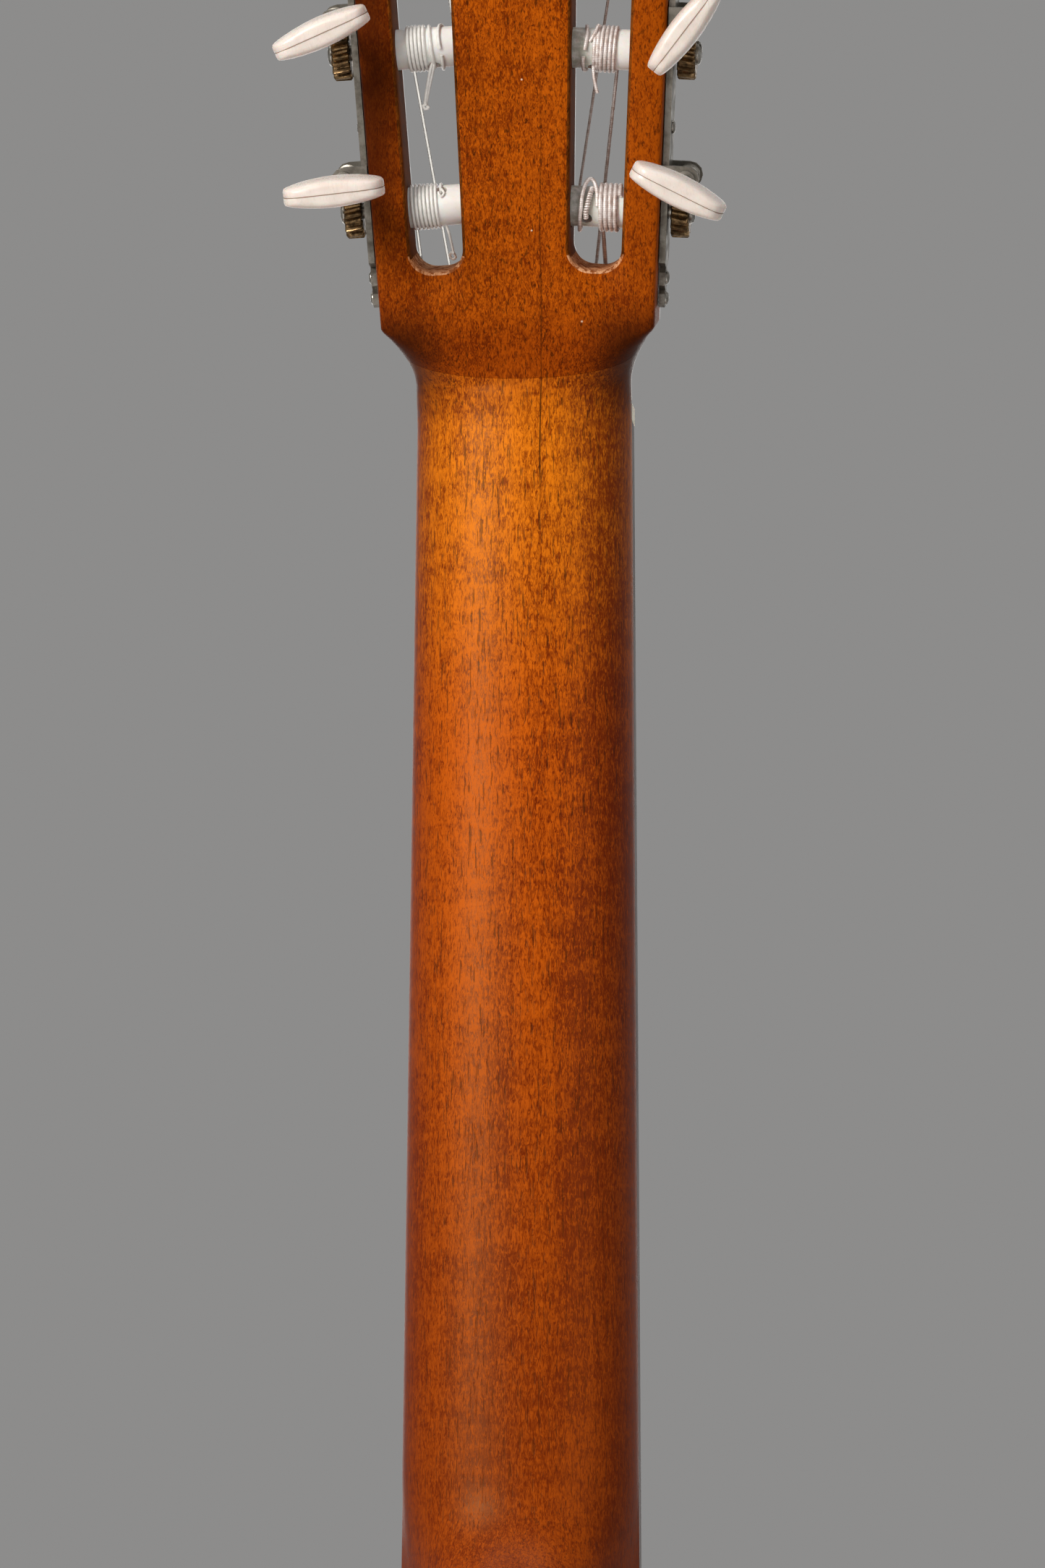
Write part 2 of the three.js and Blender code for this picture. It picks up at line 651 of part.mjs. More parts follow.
const SLOT_END = max(tunerAlong(1, 2), tunerAlong(-1, 2)) + SLOT_PAST_ROLLER;

// How much further from the head's side a slot's inner edge lies at a place along it.
function slotLean(along) {
  return (along - SLOT_START) * tan(SLOT_OPENING);
}

function slotCutter(side) {
  const [low, high] = [-RAIL - SLOT_WIDTH, -RAIL];
  const corners = [
    [high - SLOT_CORNER, SLOT_END - SLOT_CORNER, 0], [low + SLOT_CORNER, SLOT_END - SLOT_CORNER, 1],
    [low + SLOT_CORNER, SLOT_START + SLOT_CORNER, 2], [high - SLOT_CORNER, SLOT_START + SLOT_CORNER, 3],
  ];
  const outline = corners.flatMap(([out, along, quarter]) => [0, 1, 2, 3, 4].map((step) => {
    const angle = ((quarter + step / 4) * PI) / 2;
    const here = along + SLOT_CORNER * sin(angle);
    const lean = quarter === 1 || quarter === 2 ? slotLean(here) : 0;
    return inHead(side, here, out + SLOT_CORNER * cos(angle) - lean);
  }));
  return prism(outline, -2, HEAD_THICKNESS + 2, headPoint);
}

// A sloping cut in front of each slot, where the strings pass down to the rollers.
function rampCutter(side) {
  const nut = v3(0, FRONT_Y - STRING_RISE_NUT, HEAD_Z);
  const nutW = (nut.y - FRONT_Y) * sin(HEAD_TILT);
  const nutD = (nut.y - FRONT_Y) * cos(HEAD_TILT);
  const rollerW = SHOULDER_W + tunerAlong(side, 0) * cos(SPLAY);
  const slope = (ROLLER_DEPTH - ROLLER_RADIUS - ROLLER_CUT_DEPTH - nutD) / (rollerW - nutW);
  const depthAt = (w) => nutD + slope * (w - nutW) + RAMP_CLEARANCE;
  const slotW = SHOULDER_W + SLOT_START + SLOT_CORNER;
  const startW = nutW - (nutD + RAMP_CLEARANCE + 1) / slope;
  const profile = [v2(startW, -1), v2(slotW, -1), v2(slotW, depthAt(slotW))];
  const centre = SHOULDER_HALF - RAIL - SLOT_WIDTH / 2 + SLOT_START * sin(SPLAY);
  const half = SLOT_WIDTH / 2 - RAMP_INSET;
  const [low, high] = [centre - half, centre + half];
  return prism(profile, side * low, side * high, (w, d, u) => headPoint(u, w, d));
}

function rollerHole(side, number) {
  const along = tunerAlong(side, number);
  const rod = rodAlongX(-RAIL - SLOT_WIDTH - ROLLER_IN_BAR - GAP, 4, ROLLER_RADIUS + ROLLER_CLEARANCE, 20);
  if (side < 0) rod.rotateY(PI);
  rod.rotateY(side * SPLAY);
  const place = inHead(side, along, 0);
  rod.translate(place.x, ROLLER_DEPTH, place.y);
  rod.rotateX(-HEAD_TILT);
  return rod.translate(0, FRONT_Y, HEAD_Z);
}

const TUNER_SIDES = [1, -1];
const TUNER_NUMBERS = [0, 1, 2];

// Everything above (1) or below (-1) the scarf joint, half a gap clear of it.
function scarfSide(direction) {
  const back = FRONT_Y + NECK_DEPTH_NUT;
  const edgeZ = (y) => NUT_Z + SCARF_RISE - SCARF_SLOPE * (y - back) + (direction * GAP) / 2;
  const [front, rear] = [-BODY_LENGTH, BODY_LENGTH];
  const far = direction * FAR;
  const profile = [
    v2(front, edgeZ(front)), v2(rear, edgeZ(rear)),
    v2(rear, edgeZ(rear) + far), v2(front, edgeZ(front) + far),
  ];
  return prism(profile, front, rear, inYZ);
}

function wholeNeck() {
  const heelShares = [0, 0.5, 0.8, 1, 1.25, 1.5, 1.8, 2.2, 2.7, 3.3];
  const heel = heelShares.map((share) => BODY_LENGTH + share * HEEL_FOOT);
  heel[0] += GAP;
  const shaft = [BODY_LENGTH + HEEL_LENGTH, NUT_Z - 120, NUT_Z - 12, HEAD_Z - 1.5];
  const neck = loft([...heel, ...shaft].map(neckRing));
  const slab = prism(headOutline(SHOULDER_W - 0.5), HEAD_WOOD_D, HEAD_THICKNESS, headPoint);
  const cutters = TUNER_SIDES.flatMap((side) => [
    slotCutter(side), rampCutter(side), ...TUNER_NUMBERS.map((number) => rollerHole(side, number)),
  ]);
  return cut(join(neck, headTransition(), slab), ...cutters);
}

function headVeneer() {
  const outline = headOutline(2 * GAP);
  const slab = prism(outline, 0, VENEER_THICKNESS, headPoint);
  return cut(slab, ...TUNER_SIDES.flatMap((side) => [slotCutter(side), rampCutter(side)]));
}

function heelCap() {
  const right = [0, 0.3, 0.55, 0.75, 0.9, 1].map((share) => {
    const z = BODY_LENGTH + share * HEEL_FOOT;
    return v2(heelCapHalf(z), share === 0 ? z + GAP : z);
  });
  const outline = [...right, ...[...right].reverse().map((p) => v2(-p.x, p.y))];
  return prism(outline, HEEL_BACK + GAP, HEEL_BACK + GAP + HEEL_CAP_THICKNESS, inXZ);
}

// ---------------------------------------------------------------- fingerboard, nut and bridge

function fingerboard() {
  const end = fretZ(FRETS) - FINGERBOARD_TONGUE;
  const outline = [
    v2(-fingerboardHalf(end), end), v2(fingerboardHalf(end), end),
    v2(fingerboardHalf(NUT_Z), NUT_Z - GAP), v2(-fingerboardHalf(NUT_Z), NUT_Z - GAP),
  ];
  return prism(outline, FINGERBOARD_FRONT, FINGERBOARD_BACK, inXZ);
}

function stringX(number, spread) {
  return spread * (0.5 - number / (STRING_DIAMETERS.length - 1));
}

function nut() {
  const half = fingerboardHalf(NUT_Z);
  const top = FINGERBOARD_BACK - NUT_HEIGHT;
  const outline = [v2(-half, FINGERBOARD_BACK), v2(-half, top + 0.8), v2(0.8 - half, top)];
  for (let number = STRING_DIAMETERS.length - 1; number >= 0; number -= 1) {
    const x = stringX(number, STRING_SPREAD_NUT);
    const wide = STRING_DIAMETERS[number] / 2 + GAP;
    const floor = FRONT_Y - STRING_RISE_NUT + STRING_DIAMETERS[number] / 2 + GAP;
    outline.push(v2(x - wide, top), v2(x - wide, floor), v2(x + wide, floor), v2(x + wide, top));
  }
  outline.push(v2(half - 0.8, top), v2(half, top + 0.8), v2(half, FINGERBOARD_BACK));
  return prism(outline, NUT_Z, NUT_Z + NUT_THICKNESS, inXY);
}

function bridge() {
  const base = FRONT_Y - GAP;
  const low = SADDLE_Z - BRIDGE_BEHIND;
  const high = low + BRIDGE_WIDTH;
  const wings = box(-BRIDGE_LENGTH / 2, BRIDGE_LENGTH / 2, base - BRIDGE_WING_HEIGHT, base, low, high);
  const profile = [
    v2(base, low), v2(base - BRIDGE_HEIGHT, low), v2(base - BRIDGE_HEIGHT, low + TIE_BLOCK_WIDTH),
    v2(base - CHANNEL_FLOOR, low + TIE_BLOCK_WIDTH), v2(base - CHANNEL_FLOOR, SADDLE_Z - SADDLE_RIDGE_HALF),
    v2(base - BRIDGE_HEIGHT, SADDLE_Z - SADDLE_RIDGE_HALF),
    v2(base - BRIDGE_HEIGHT, SADDLE_Z + SADDLE_RIDGE_HALF),
    v2(base - BRIDGE_WING_HEIGHT, high), v2(base, high),
  ];
  const centre = prism(profile, -BRIDGE_CENTRE_HALF, BRIDGE_CENTRE_HALF, inYZ);
  const slotHalf = SADDLE_THICKNESS / 2 + GAP;
  const slotFloor = base - BRIDGE_HEIGHT + SADDLE_SLOT_DEPTH;
  const slot = box(-SADDLE_HALF - GAP, SADDLE_HALF + GAP, base - BRIDGE_HEIGHT - 1, slotFloor,
    SADDLE_Z - slotHalf, SADDLE_Z + slotHalf);
  const tieHoles = STRING_DIAMETERS.map((diameter, number) => {
    const x = stringX(number, STRING_SPREAD_BRIDGE);
    const hole = circle(x, FRONT_Y - STRING_RISE_TIE, diameter / 2 + 2 * GAP, 8);
    return prism(hole, low - 1, low + TIE_BLOCK_WIDTH + 1, inXY);
  });
  return cut(join(wings, centre), slot, ...tieHoles);
}

function saddle() {
  const base = FRONT_Y - GAP - BRIDGE_HEIGHT + SADDLE_SLOT_DEPTH - GAP;
  const top = FRONT_Y - STRING_RISE_SADDLE + max(...STRING_DIAMETERS) / 2 + GAP;
  const half = SADDLE_THICKNESS / 2;
  const profile = [
    v2(base, SADDLE_Z - half), v2(base, SADDLE_Z + half), v2(top + 0.6, SADDLE_Z + half),
    v2(top, SADDLE_Z + half / 3), v2(top, SADDLE_Z - half / 3), v2(top + 0.6, SADDLE_Z - half),
  ];
  return prism(profile, -SADDLE_HALF, SADDLE_HALF, inYZ);
}

// Where each string meets its roller: how far it lies from the slot's inner edge.
const ROLLER_ENTRY = [11.43, 11.46, 4.2, 11.59, 10.66, 6.73];

// Each string's tuner: [side, place along the side], from the first string to the sixth.
const STRING_TUNERS = [[1, 0], [1, 1], [1, 2], [-1, 2], [-1, 1], [-1, 0]];

function stringRoute(number) {
  const radius = STRING_DIAMETERS[number] / 2;
  const bridgeX = stringX(number, STRING_SPREAD_BRIDGE);
  const nutX = stringX(number, STRING_SPREAD_NUT);
  const tieLow = SADDLE_Z - BRIDGE_BEHIND;
  const [side, place] = STRING_TUNERS[number];
  const along = tunerAlong(side, place);
  const slotEdge = RAIL + SLOT_WIDTH + slotLean(along);
  const spot = inHead(side, along, ROLLER_ENTRY[number] - slotEdge);
  const touch = ROLLER_DEPTH - ROLLER_RADIUS - radius - GAP - 0.1;
  return [
    v3(bridgeX, FRONT_Y - STRING_RISE_TIE, tieLow + 0.5),
    v3(bridgeX, FRONT_Y - STRING_RISE_TIE, tieLow + TIE_BLOCK_WIDTH + GAP),
    v3(bridgeX, FRONT_Y - STRING_RISE_SADDLE, SADDLE_Z - SADDLE_THICKNESS / 2),
    v3(bridgeX, FRONT_Y - STRING_RISE_SADDLE, SADDLE_Z + 0.5),
    v3(nutX, FRONT_Y - STRING_RISE_NUT, NUT_Z),
    v3(nutX, FRONT_Y - STRING_RISE_NUT, HEAD_Z + 0.4),
    headPoint(spot.x, spot.y, touch),
  ];
}

// A thin round bar through the route's points, mitred at each bend.
function stringSolid(number) {
  const route = stringRoute(number);
  const radius = STRING_DIAMETERS[number] / 2;
  const rings = route.map((point, i) => {
    const before = point.clone().sub(route[max(0, i - 1)]).normalize();
    const after = route[min(route.length - 1, i + 1)].clone().sub(point).normalize();
    const along = before.add(after).normalize();
    const across = v3(1, 0, 0).projectOnPlane(along).normalize();
    const up = along.clone().cross(across);
    return Array.from({ length: STRING_SIDES }, (_, k) => {
      const angle = (TURN * (k + 0.5)) / STRING_SIDES;
      const offset = across.clone().multiplyScalar(cos(angle)).addScaledVector(up, sin(angle));
      return point.clone().addScaledVector(offset, radius);
    });
  });
  return loft(rings);
}

// ---------------------------------------------------------------- tuners
// Local axes of a tuner: X out of the head's side (times side), Y to the back, Z up along the side.
// The origin is on the roller's axis, at the side of the head.

const PLATE_OUT = GAP + PLATE_THICKNESS;
const GEAR_IN = GEAR_MIDDLE - GEAR_WIDTH / 2;
const GEAR_OUT = GEAR_MIDDLE + GEAR_WIDTH / 2;

// The plate's outline in [along, across]: straight with waisted, rounded ends.
function plateOutline() {
  const half = PLATE_WIDTH / 2;
  const low = -PLATE_END;
  const high = 2 * TUNER_SPACING + PLATE_END;
  const end = [[0, 0.25], [0.8, 0.5], [3.4, 0.5], [4.4, 0.3], [5.4, 0.5], [8.6, 0.55], [9.8, 0.4], [11.2, 1]];
  const bottom = end.map(([along, share]) => v2(low + along, share * half));
  const top = [...end].reverse().map(([along, share]) => v2(high - along, share * half));
  const upper = [...bottom, ...top];
  return [...upper, ...[...upper].reverse().map((p) => v2(p.x, -p.y))];
}

function tunerPlate(side) {
  const axles = TUNER_NUMBERS.map((number) => circle(number * TUNER_SPACING, 0, AXLE_RADIUS + RUNNING, 12));
  const place = (along, across, out) => v3(side * out, across, along);
  const plate = prism(plateOutline(), GAP, PLATE_OUT, place, axles);
  const ears = TUNER_NUMBERS.flatMap((number) => [-1, 1].map((end) => {
    const centre = number * TUNER_SPACING + WORM_OFFSET;
    const arc = [0, 1, 2, 3, 4, 5, 6].map((step) => {
      const angle = (step / 6 - 0.5) * PI;
      return v2(WORM_OUT + EAR_RADIUS * cos(angle), centre + EAR_RADIUS * sin(angle));
    });
    const tab = [v2(GAP + 0.2, centre - EAR_RADIUS), ...arc, v2(GAP + 0.2, centre + EAR_RADIUS)];
    const near = end * (EAR_SPAN / 2);
    const far = end * (EAR_SPAN / 2 + EAR_THICKNESS);
    const hole = circle(WORM_OUT, centre, WORM_ROOT_RADIUS + RUNNING, 10);
    return prism(tab, near, far, (out, along, across) => v3(side * out, across, along), [hole]);
  }));
  return join(plate, ...earLugs(side), ...ears);
}

// The plate is wider beside each worm, so that the ears grow out of its edges.
function earLugs(side) {
  return TUNER_NUMBERS.map((number) => {
    const centre = number * TUNER_SPACING + WORM_OFFSET;
    const reach = EAR_SPAN / 2 + EAR_THICKNESS;
    const [low, high] = side > 0 ? [GAP, PLATE_OUT] : [-PLATE_OUT, -GAP];
    return box(low, high, -reach, reach, centre - EAR_RADIUS, centre + EAR_RADIUS);
  });
}

function roller(side) {
  const inner = -RAIL - SLOT_WIDTH - ROLLER_IN_BAR;
  const profile = [
    [inner, 0], [inner, ROLLER_RADIUS - 0.8], [inner + 0.8, ROLLER_RADIUS], [-0.6, ROLLER_RADIUS],
    [-0.6, AXLE_RADIUS], [GEAR_OUT + 0.8, AXLE_RADIUS], [GEAR_OUT + 0.8, 0],
  ];
  return turnedAlongX(profile, 18, side);
}

function gear(side) {
  const pitchAngle = TURN / GEAR_TEETH;
  const outline = [];
  for (let tooth = 0; tooth < GEAR_TEETH; tooth += 1) {
    const middle = (tooth + 0.5) * pitchAngle;
    const corners = [
      [-0.34, GEAR_ROOT_RADIUS], [-0.1, GEAR_TIP_RADIUS], [0.1, GEAR_TIP_RADIUS], [0.34, GEAR_ROOT_RADIUS],
    ];
    for (const [share, radius] of corners) {
      const angle = middle + share * pitchAngle;
      outline.push(v2(radius * sin(angle), radius * cos(angle)));
    }
  }
  const helix = WORM_PITCH / (TURN * (WORM_OFFSET - GEAR_PITCH_RADIUS));
  const twist = helix / GEAR_PITCH_RADIUS;
  const place = (y, z, out) => {
    const angle = -twist * (out - WORM_OUT);
    return v3(side * out, y * cos(angle) - z * sin(angle), y * sin(angle) + z * cos(angle));
  };
  return prism(outline, GEAR_IN, GEAR_OUT, place, [circle(0, 0, AXLE_RADIUS + GAP, 12)]);
}

// The worm turns about Y; its thread is centred on the roller's axis, where the gear meets it.
function worm(side) {
  const steps = WORM_TURNS * WORM_STEPS;
  const rings = [];
  for (let step = 0; step <= steps; step += 1) {
    const turn = (step - steps / 2) / WORM_STEPS;
    const angle = turn * TURN;
    const fade = min(1, min(step, steps - step) / 3);
    const tip = lerp(WORM_ROOT_RADIUS + 0.2, WORM_TIP_RADIUS, fade);
    const root = WORM_ROOT_RADIUS - 0.3;
    const section = [
      [root, -THREAD_HALF_ROOT], [tip, -THREAD_HALF_TIP], [tip, THREAD_HALF_TIP], [root, THREAD_HALF_ROOT],
    ];
    rings.push(section.map(([radius, along]) => v3(
      side * (WORM_OUT + radius * sin(angle)),
      along + turn * WORM_PITCH,
      WORM_OFFSET - radius * cos(angle),
    )));
  }
  const end = BUTTON_BEHIND + SHAFT_IN_BUTTON;
  const shaft = rodAlongX(SHAFT_START, end, WORM_ROOT_RADIUS, 10).rotateZ(PI / 2);
  shaft.translate(side * WORM_OUT, 0, WORM_OFFSET);
  return join(shaft, loft(rings));
}

// The button's sections from hub to tip: [share of length, half width, half thickness].
const BUTTON_SECTIONS = [
  [0, 0.32, 1.02], [0.12, 0.34, 1.02], [0.3, 0.72, 1], [0.52, 0.97, 1], [0.72, 1, 0.96],
  [0.88, 0.84, 0.82], [0.97, 0.55, 0.6], [1, 0.25, 0.35],
];

function button(side, angle) {
  const rings = BUTTON_SECTIONS.map(([share, wide, thick]) => {
    const half = wide * BUTTON_HALF;
    const deep = thick * BUTTON_THICK_HALF;
    const quarter = [[1, 0.44], [0.96, 0.56], [0.7, 0.78], [0.36, 0.94]];
    const upper = [...quarter, [0, 1], ...[...quarter].reverse().map(([x, z]) => [-x, z])];
    const all = [...upper, ...[...upper].reverse().map(([x, z]) => [x, -z])];
    return all.map(([x, z]) => v3(x * half, BUTTON_BEHIND + share * BUTTON_LENGTH, z * deep));
  });
  const boreEnd = BUTTON_BEHIND + SHAFT_IN_BUTTON + 0.5;
  const bore = rodAlongX(BUTTON_BEHIND - 1, boreEnd, WORM_ROOT_RADIUS + GAP, 10);
  bore.rotateZ(PI / 2);
  const shape = cut(loft(rings), bore);
  shape.rotateY(degrees(-angle));
  return shape.translate(side * WORM_OUT, 0, WORM_OFFSET);
}

// ---------------------------------------------------------------- assembly

const group = new THREE.Group();

function addBody() {
  group.add(part('soundboard', soundboard(), 'spruce'));
  group.add(part('rosette', rosette(), 'rosette'));
  group.add(part('back_plate', backPlate(), 'mahogany'));
  group.add(part('rib_treble', rib(1), 'mahogany'));
  group.add(part('rib_bass', rib(-1), 'mahogany'));
  group.add(part('end_graft', endGraft(), 'binding'));
  const flat = (offset) => () => FRONT_Y + offset;
  group.add(part('top_binding', binding(flat(0), flat(BINDING_HEIGHT)), 'binding'));
  const arched = (offset) => (x, z) => backY(x, z) - offset;
  group.add(part('back_binding', binding(arched(0), arched(BINDING_HEIGHT)), 'binding'));
  group.add(part('neck_block', neckBlock(), 'block_wood'));
  group.add(part('tail_block', tailBlock(), 'block_wood'));
  group.add(part('upper_harmonic_bar', harmonicBar(UPPER_BAR_Z), 'spruce'));
  group.add(part('lower_harmonic_bar', harmonicBar(LOWER_BAR_Z), 'spruce'));
  for (let number = 0; number < FAN_BRACES; number += 1) {
    group.add(part(`fan_brace_${number + 1}`, fanBrace(number), 'spruce'));
  }
  BACK_BRACE_Z.forEach((z, i) => group.add(part(`back_brace_${i + 1}`, backBrace(z), 'block_wood')));
}

function addNeck() {
  const whole = wholeNeck();
  group.add(part('neck_shaft', overlap(whole, scarfSide(-1)), 'mahogany'));
  group.add(part('headstock', overlap(whole, scarfSide(1)), 'mahogany'));
  group.add(part('head_veneer', headVeneer(), 'ebony'));
  group.add(part('heel_cap', heelCap(), 'mahogany'));
  group.add(part('fingerboard', fingerboard(), 'ebony'));
  group.add(part('nut', nut(), 'bone'));
  group.add(part('bridge', bridge(), 'ebony'));
  group.add(part('saddle', saddle(), 'bone'));
  STRING_DIAMETERS.forEach((_, number) => {
    const material = number < 3 ? 'string_nylon' : 'string_wound';
    group.add(part(`string_${number + 1}`, stringSolid(number), material));
  });
}

function addTuners() {
  const head = new THREE.Group();
  head.position.set(0, FRONT_Y, HEAD_Z);
  head.rotation.x = -HEAD_TILT;
  group.add(head);
  for (const side of TUNER_SIDES) {
    const machine = new THREE.Group();
    const start = inHead(side, tunerAlong(side, 0), 0);
    machine.position.set(start.x, ROLLER_DEPTH, start.y);
    machine.rotation.y = side * SPLAY;
    head.add(machine);
    machine.add(part(side > 0 ? 'tuner_plate_treble' : 'tuner_plate_bass', tunerPlate(side), 'nickel'));
    STRING_TUNERS.forEach(([stringSide, place], number) => {
      if (stringSide !== side) return;
      const tuner = new THREE.Group();
      tuner.position.z = place * TUNER_SPACING;
      machine.add(tuner);
      tuner.add(part(`roller_${number + 1}`, roller(side), 'nylon_white'));
      tuner.add(part(`gear_${number + 1}`, gear(side), 'bronze'));
      tuner.add(part(`worm_${number + 1}`, worm(side), 'nickel'));
      tuner.add(part(`button_${number + 1}`, button(side, BUTTON_ANGLES[number]), 'button_cream'));
    });
  }
}

addBody();
addNeck();
addTuners();

export default group;
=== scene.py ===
"""Looks of the classical guitar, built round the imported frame. Lengths are in mm until a mesh is made."""

from math import cos, pi, radians, sin, sqrt, tan, tau

import bpy
import bmesh
import numpy as np
from mathutils import Matrix, Vector


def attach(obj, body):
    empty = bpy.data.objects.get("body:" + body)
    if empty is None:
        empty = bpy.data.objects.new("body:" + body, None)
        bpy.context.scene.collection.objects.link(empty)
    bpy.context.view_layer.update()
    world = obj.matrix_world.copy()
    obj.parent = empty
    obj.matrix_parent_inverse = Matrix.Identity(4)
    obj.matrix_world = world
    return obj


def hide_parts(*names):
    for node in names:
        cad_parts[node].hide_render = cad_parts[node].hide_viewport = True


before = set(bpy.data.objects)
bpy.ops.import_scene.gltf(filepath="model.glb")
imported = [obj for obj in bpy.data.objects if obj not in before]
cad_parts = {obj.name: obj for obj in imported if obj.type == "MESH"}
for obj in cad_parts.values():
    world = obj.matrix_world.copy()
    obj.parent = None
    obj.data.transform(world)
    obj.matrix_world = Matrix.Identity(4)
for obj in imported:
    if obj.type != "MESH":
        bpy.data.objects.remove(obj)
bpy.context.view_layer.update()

MM = 0.001

# ------------------------------------------------------------------ sizes shared with the frame

FRONT_Y = -50.0
BODY_LENGTH = 490.0
LOWER_HALF, LOWER_Z = 185.0, 118.0
WAIST_HALF, WAIST_Z = 120.0, 278.0
UPPER_HALF, UPPER_Z = 140.0, 392.0
DEPTH_TAIL, DEPTH_NECK, BACK_ARCH = 100.0, 94.0, 4.0
RIB, TOP_THICKNESS, BACK_THICKNESS = 2.2, 2.5, 2.5
BINDING_WIDTH, BINDING_HEIGHT = 2.2, 5.0
GAP = 0.3
SADDLE_Z = 165.0
SCALE = 650.0
NUT_Z = SADDLE_Z + SCALE
NUT_THICKNESS = 4.2
HEAD_Z = NUT_Z + GAP + NUT_THICKNESS
NUT_WIDTH, JOINT_WIDTH = 52.0, 58.0
FINGERBOARD_BACK = FRONT_Y - GAP
FINGERBOARD_FRONT = FINGERBOARD_BACK - 6.5
FRETS = 19
SOUNDHOLE_Z, SOUNDHOLE_RADIUS = 335.0, 42.0
DIAMETERS = [0.71, 0.82, 1.02, 0.74, 0.89, 1.09]
SPREAD_NUT, SPREAD_BRIDGE = 43.0, 58.0
RISE_NUT, RISE_SADDLE, RISE_TIE = 8.9, 12.4, 6.2

TILT = radians(16.1)
HEAD_LENGTH, HEAD_THICKNESS = 178.0, 18.9
VENEER = 1.9
SHOULDER_HALF, SHOULDER_W, FLARE_START = 33.1, 20.2, 6.0
SPLAY = radians(3.34)
RAIL, SLOT_WIDTH, SLOT_START = 8.66, 12.6, 12.9
SLOT_OPENING = radians(1.7)
TREBLE_TUNERS, BASS_TUNERS, TUNER_SPACING = 28.1, 27.4, 38.2
SLOT_END = 120.0
ROLLER_DEPTH, ROLLER_RADIUS, AXLE_RADIUS = 9.5, 4.9, 1.9
GEAR_MIDDLE, WORM_OUT, WORM_OFFSET = 4.8, 6.0, 8.25
PLATE_END, PLATE_FACE = 23.4, 1.8
GEAR_WIDTH, GEAR_TEETH, GEAR_PITCH_RADIUS = 4.4, 15, 5.9
BUTTON_BEHIND, BUTTON_LENGTH, BUTTON_HALF = 21.0, 18.5, 12.2
BUTTON_ANGLES = [-2.5, -20.0, 35.0, -14.0, -55.0, 24.0]
CUT_PAST = 4.0
CREST_HEIGHT = 13
NECK_DEPTH_JOINT, NECK_DEPTH_NUT = 23.0, 20.5
SCARF_RISE = 7.3
SCARF_GAP = 0.00004
SMOOTH_ANGLE = 35
TUNERS = [(1, 0), (1, 1), (1, 2), (-1, 2), (-1, 1), (-1, 0)]


def lerp(a, b, share):
    return a + (b - a) * share


def clamp(value, low=0.0, high=1.0):
    return max(low, min(high, value))


# ------------------------------------------------------------------ mesh helpers


def mesh_piece(name, points, faces, material, body="guitar", smooth=SMOOTH_ANGLE, turned_out=True):
    """A mesh object from points in mm. Edges sharper than smooth degrees stay sharp."""
    mesh = bpy.data.meshes.new(name)
    mesh.from_pydata([tuple(c * MM for c in p) for p in points], [], faces)
    bm = bmesh.new()
    bm.from_mesh(mesh)
    bmesh.ops.remove_doubles(bm, verts=bm.verts, dist=1e-6)
    if turned_out:
        bmesh.ops.recalc_face_normals(bm, faces=bm.faces)
    bm.to_mesh(mesh)
    bm.free()
    finish_mesh(mesh, smooth)
    piece = bpy.data.objects.new(name, mesh)
    bpy.context.scene.collection.objects.link(piece)
    piece.data.materials.append(material)
    if body:
        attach(piece, body)
    return piece


def finish_mesh(mesh, smooth=SMOOTH_ANGLE):
    mesh.polygons.foreach_set("use_smooth", [True] * len(mesh.polygons))
    mesh.set_sharp_from_angle(angle=radians(smooth))
    mesh.update()


def loft(rings, looped=False, capped=True):
    """Points and faces of a skin through rings of equal length."""
    size = len(rings[0])
    count = len(rings)
    faces = []
    for k in range(count if looped else count - 1):
        after = (k + 1) % count
        for i in range(size):
            j = (i + 1) % size
            faces.append((k * size + i, k * size + j, after * size + j, after * size + i))
    if capped and not looped:
        faces.append(tuple(range(size)))
        faces.append(tuple(range((count - 1) * size, count * size)))
    return [p for ring in rings for p in ring], faces


def prism(outline, low, high, place, flare=0.0):
    """An outline swept from low to high; flare widens both ends to round the edges that it cuts."""
    levels = [(low, 0.0), (high, 0.0)]
    if flare:
        levels = [(low, flare), (0.0, flare), (0.25 * flare, 0.45 * flare), (flare, 0.0)]
        levels += [(HEAD_THICKNESS - flare, 0.0), (HEAD_THICKNESS - 0.25 * flare, 0.45 * flare)]
        levels += [(HEAD_THICKNESS, flare), (high, flare)]
    rings = [[place(*p, level) for p in widened(outline, grow)] for level, grow in levels]
    return loft(rings)


def widened(outline, grow):
    if not grow:
        return outline
    count = len(outline)
    centre = Vector((sum(p[0] for p in outline) / count, sum(p[1] for p in outline) / count))
    moved = []
    for i in range(count):
        before, after = Vector(outline[i - 1]), Vector(outline[(i + 1) % count])
        along = (after - before).normalized()
        normal = Vector((along.y, -along.x))
        here = Vector(outline[i])
        if normal.dot(here - centre) < 0:
            normal = -normal
        moved.append(tuple(here + normal * grow))
    return moved


def turned(profile, place, steps=48):
    """A round piece from [axial, radius] pairs; place(axial, a, b) sets it in the frame."""
    rings = []
    for axial, radius in profile:
        angles = [tau * k / steps for k in range(steps)]
        rings.append([place(axial, radius * cos(a), radius * sin(a)) for a in angles])
    return loft(rings)


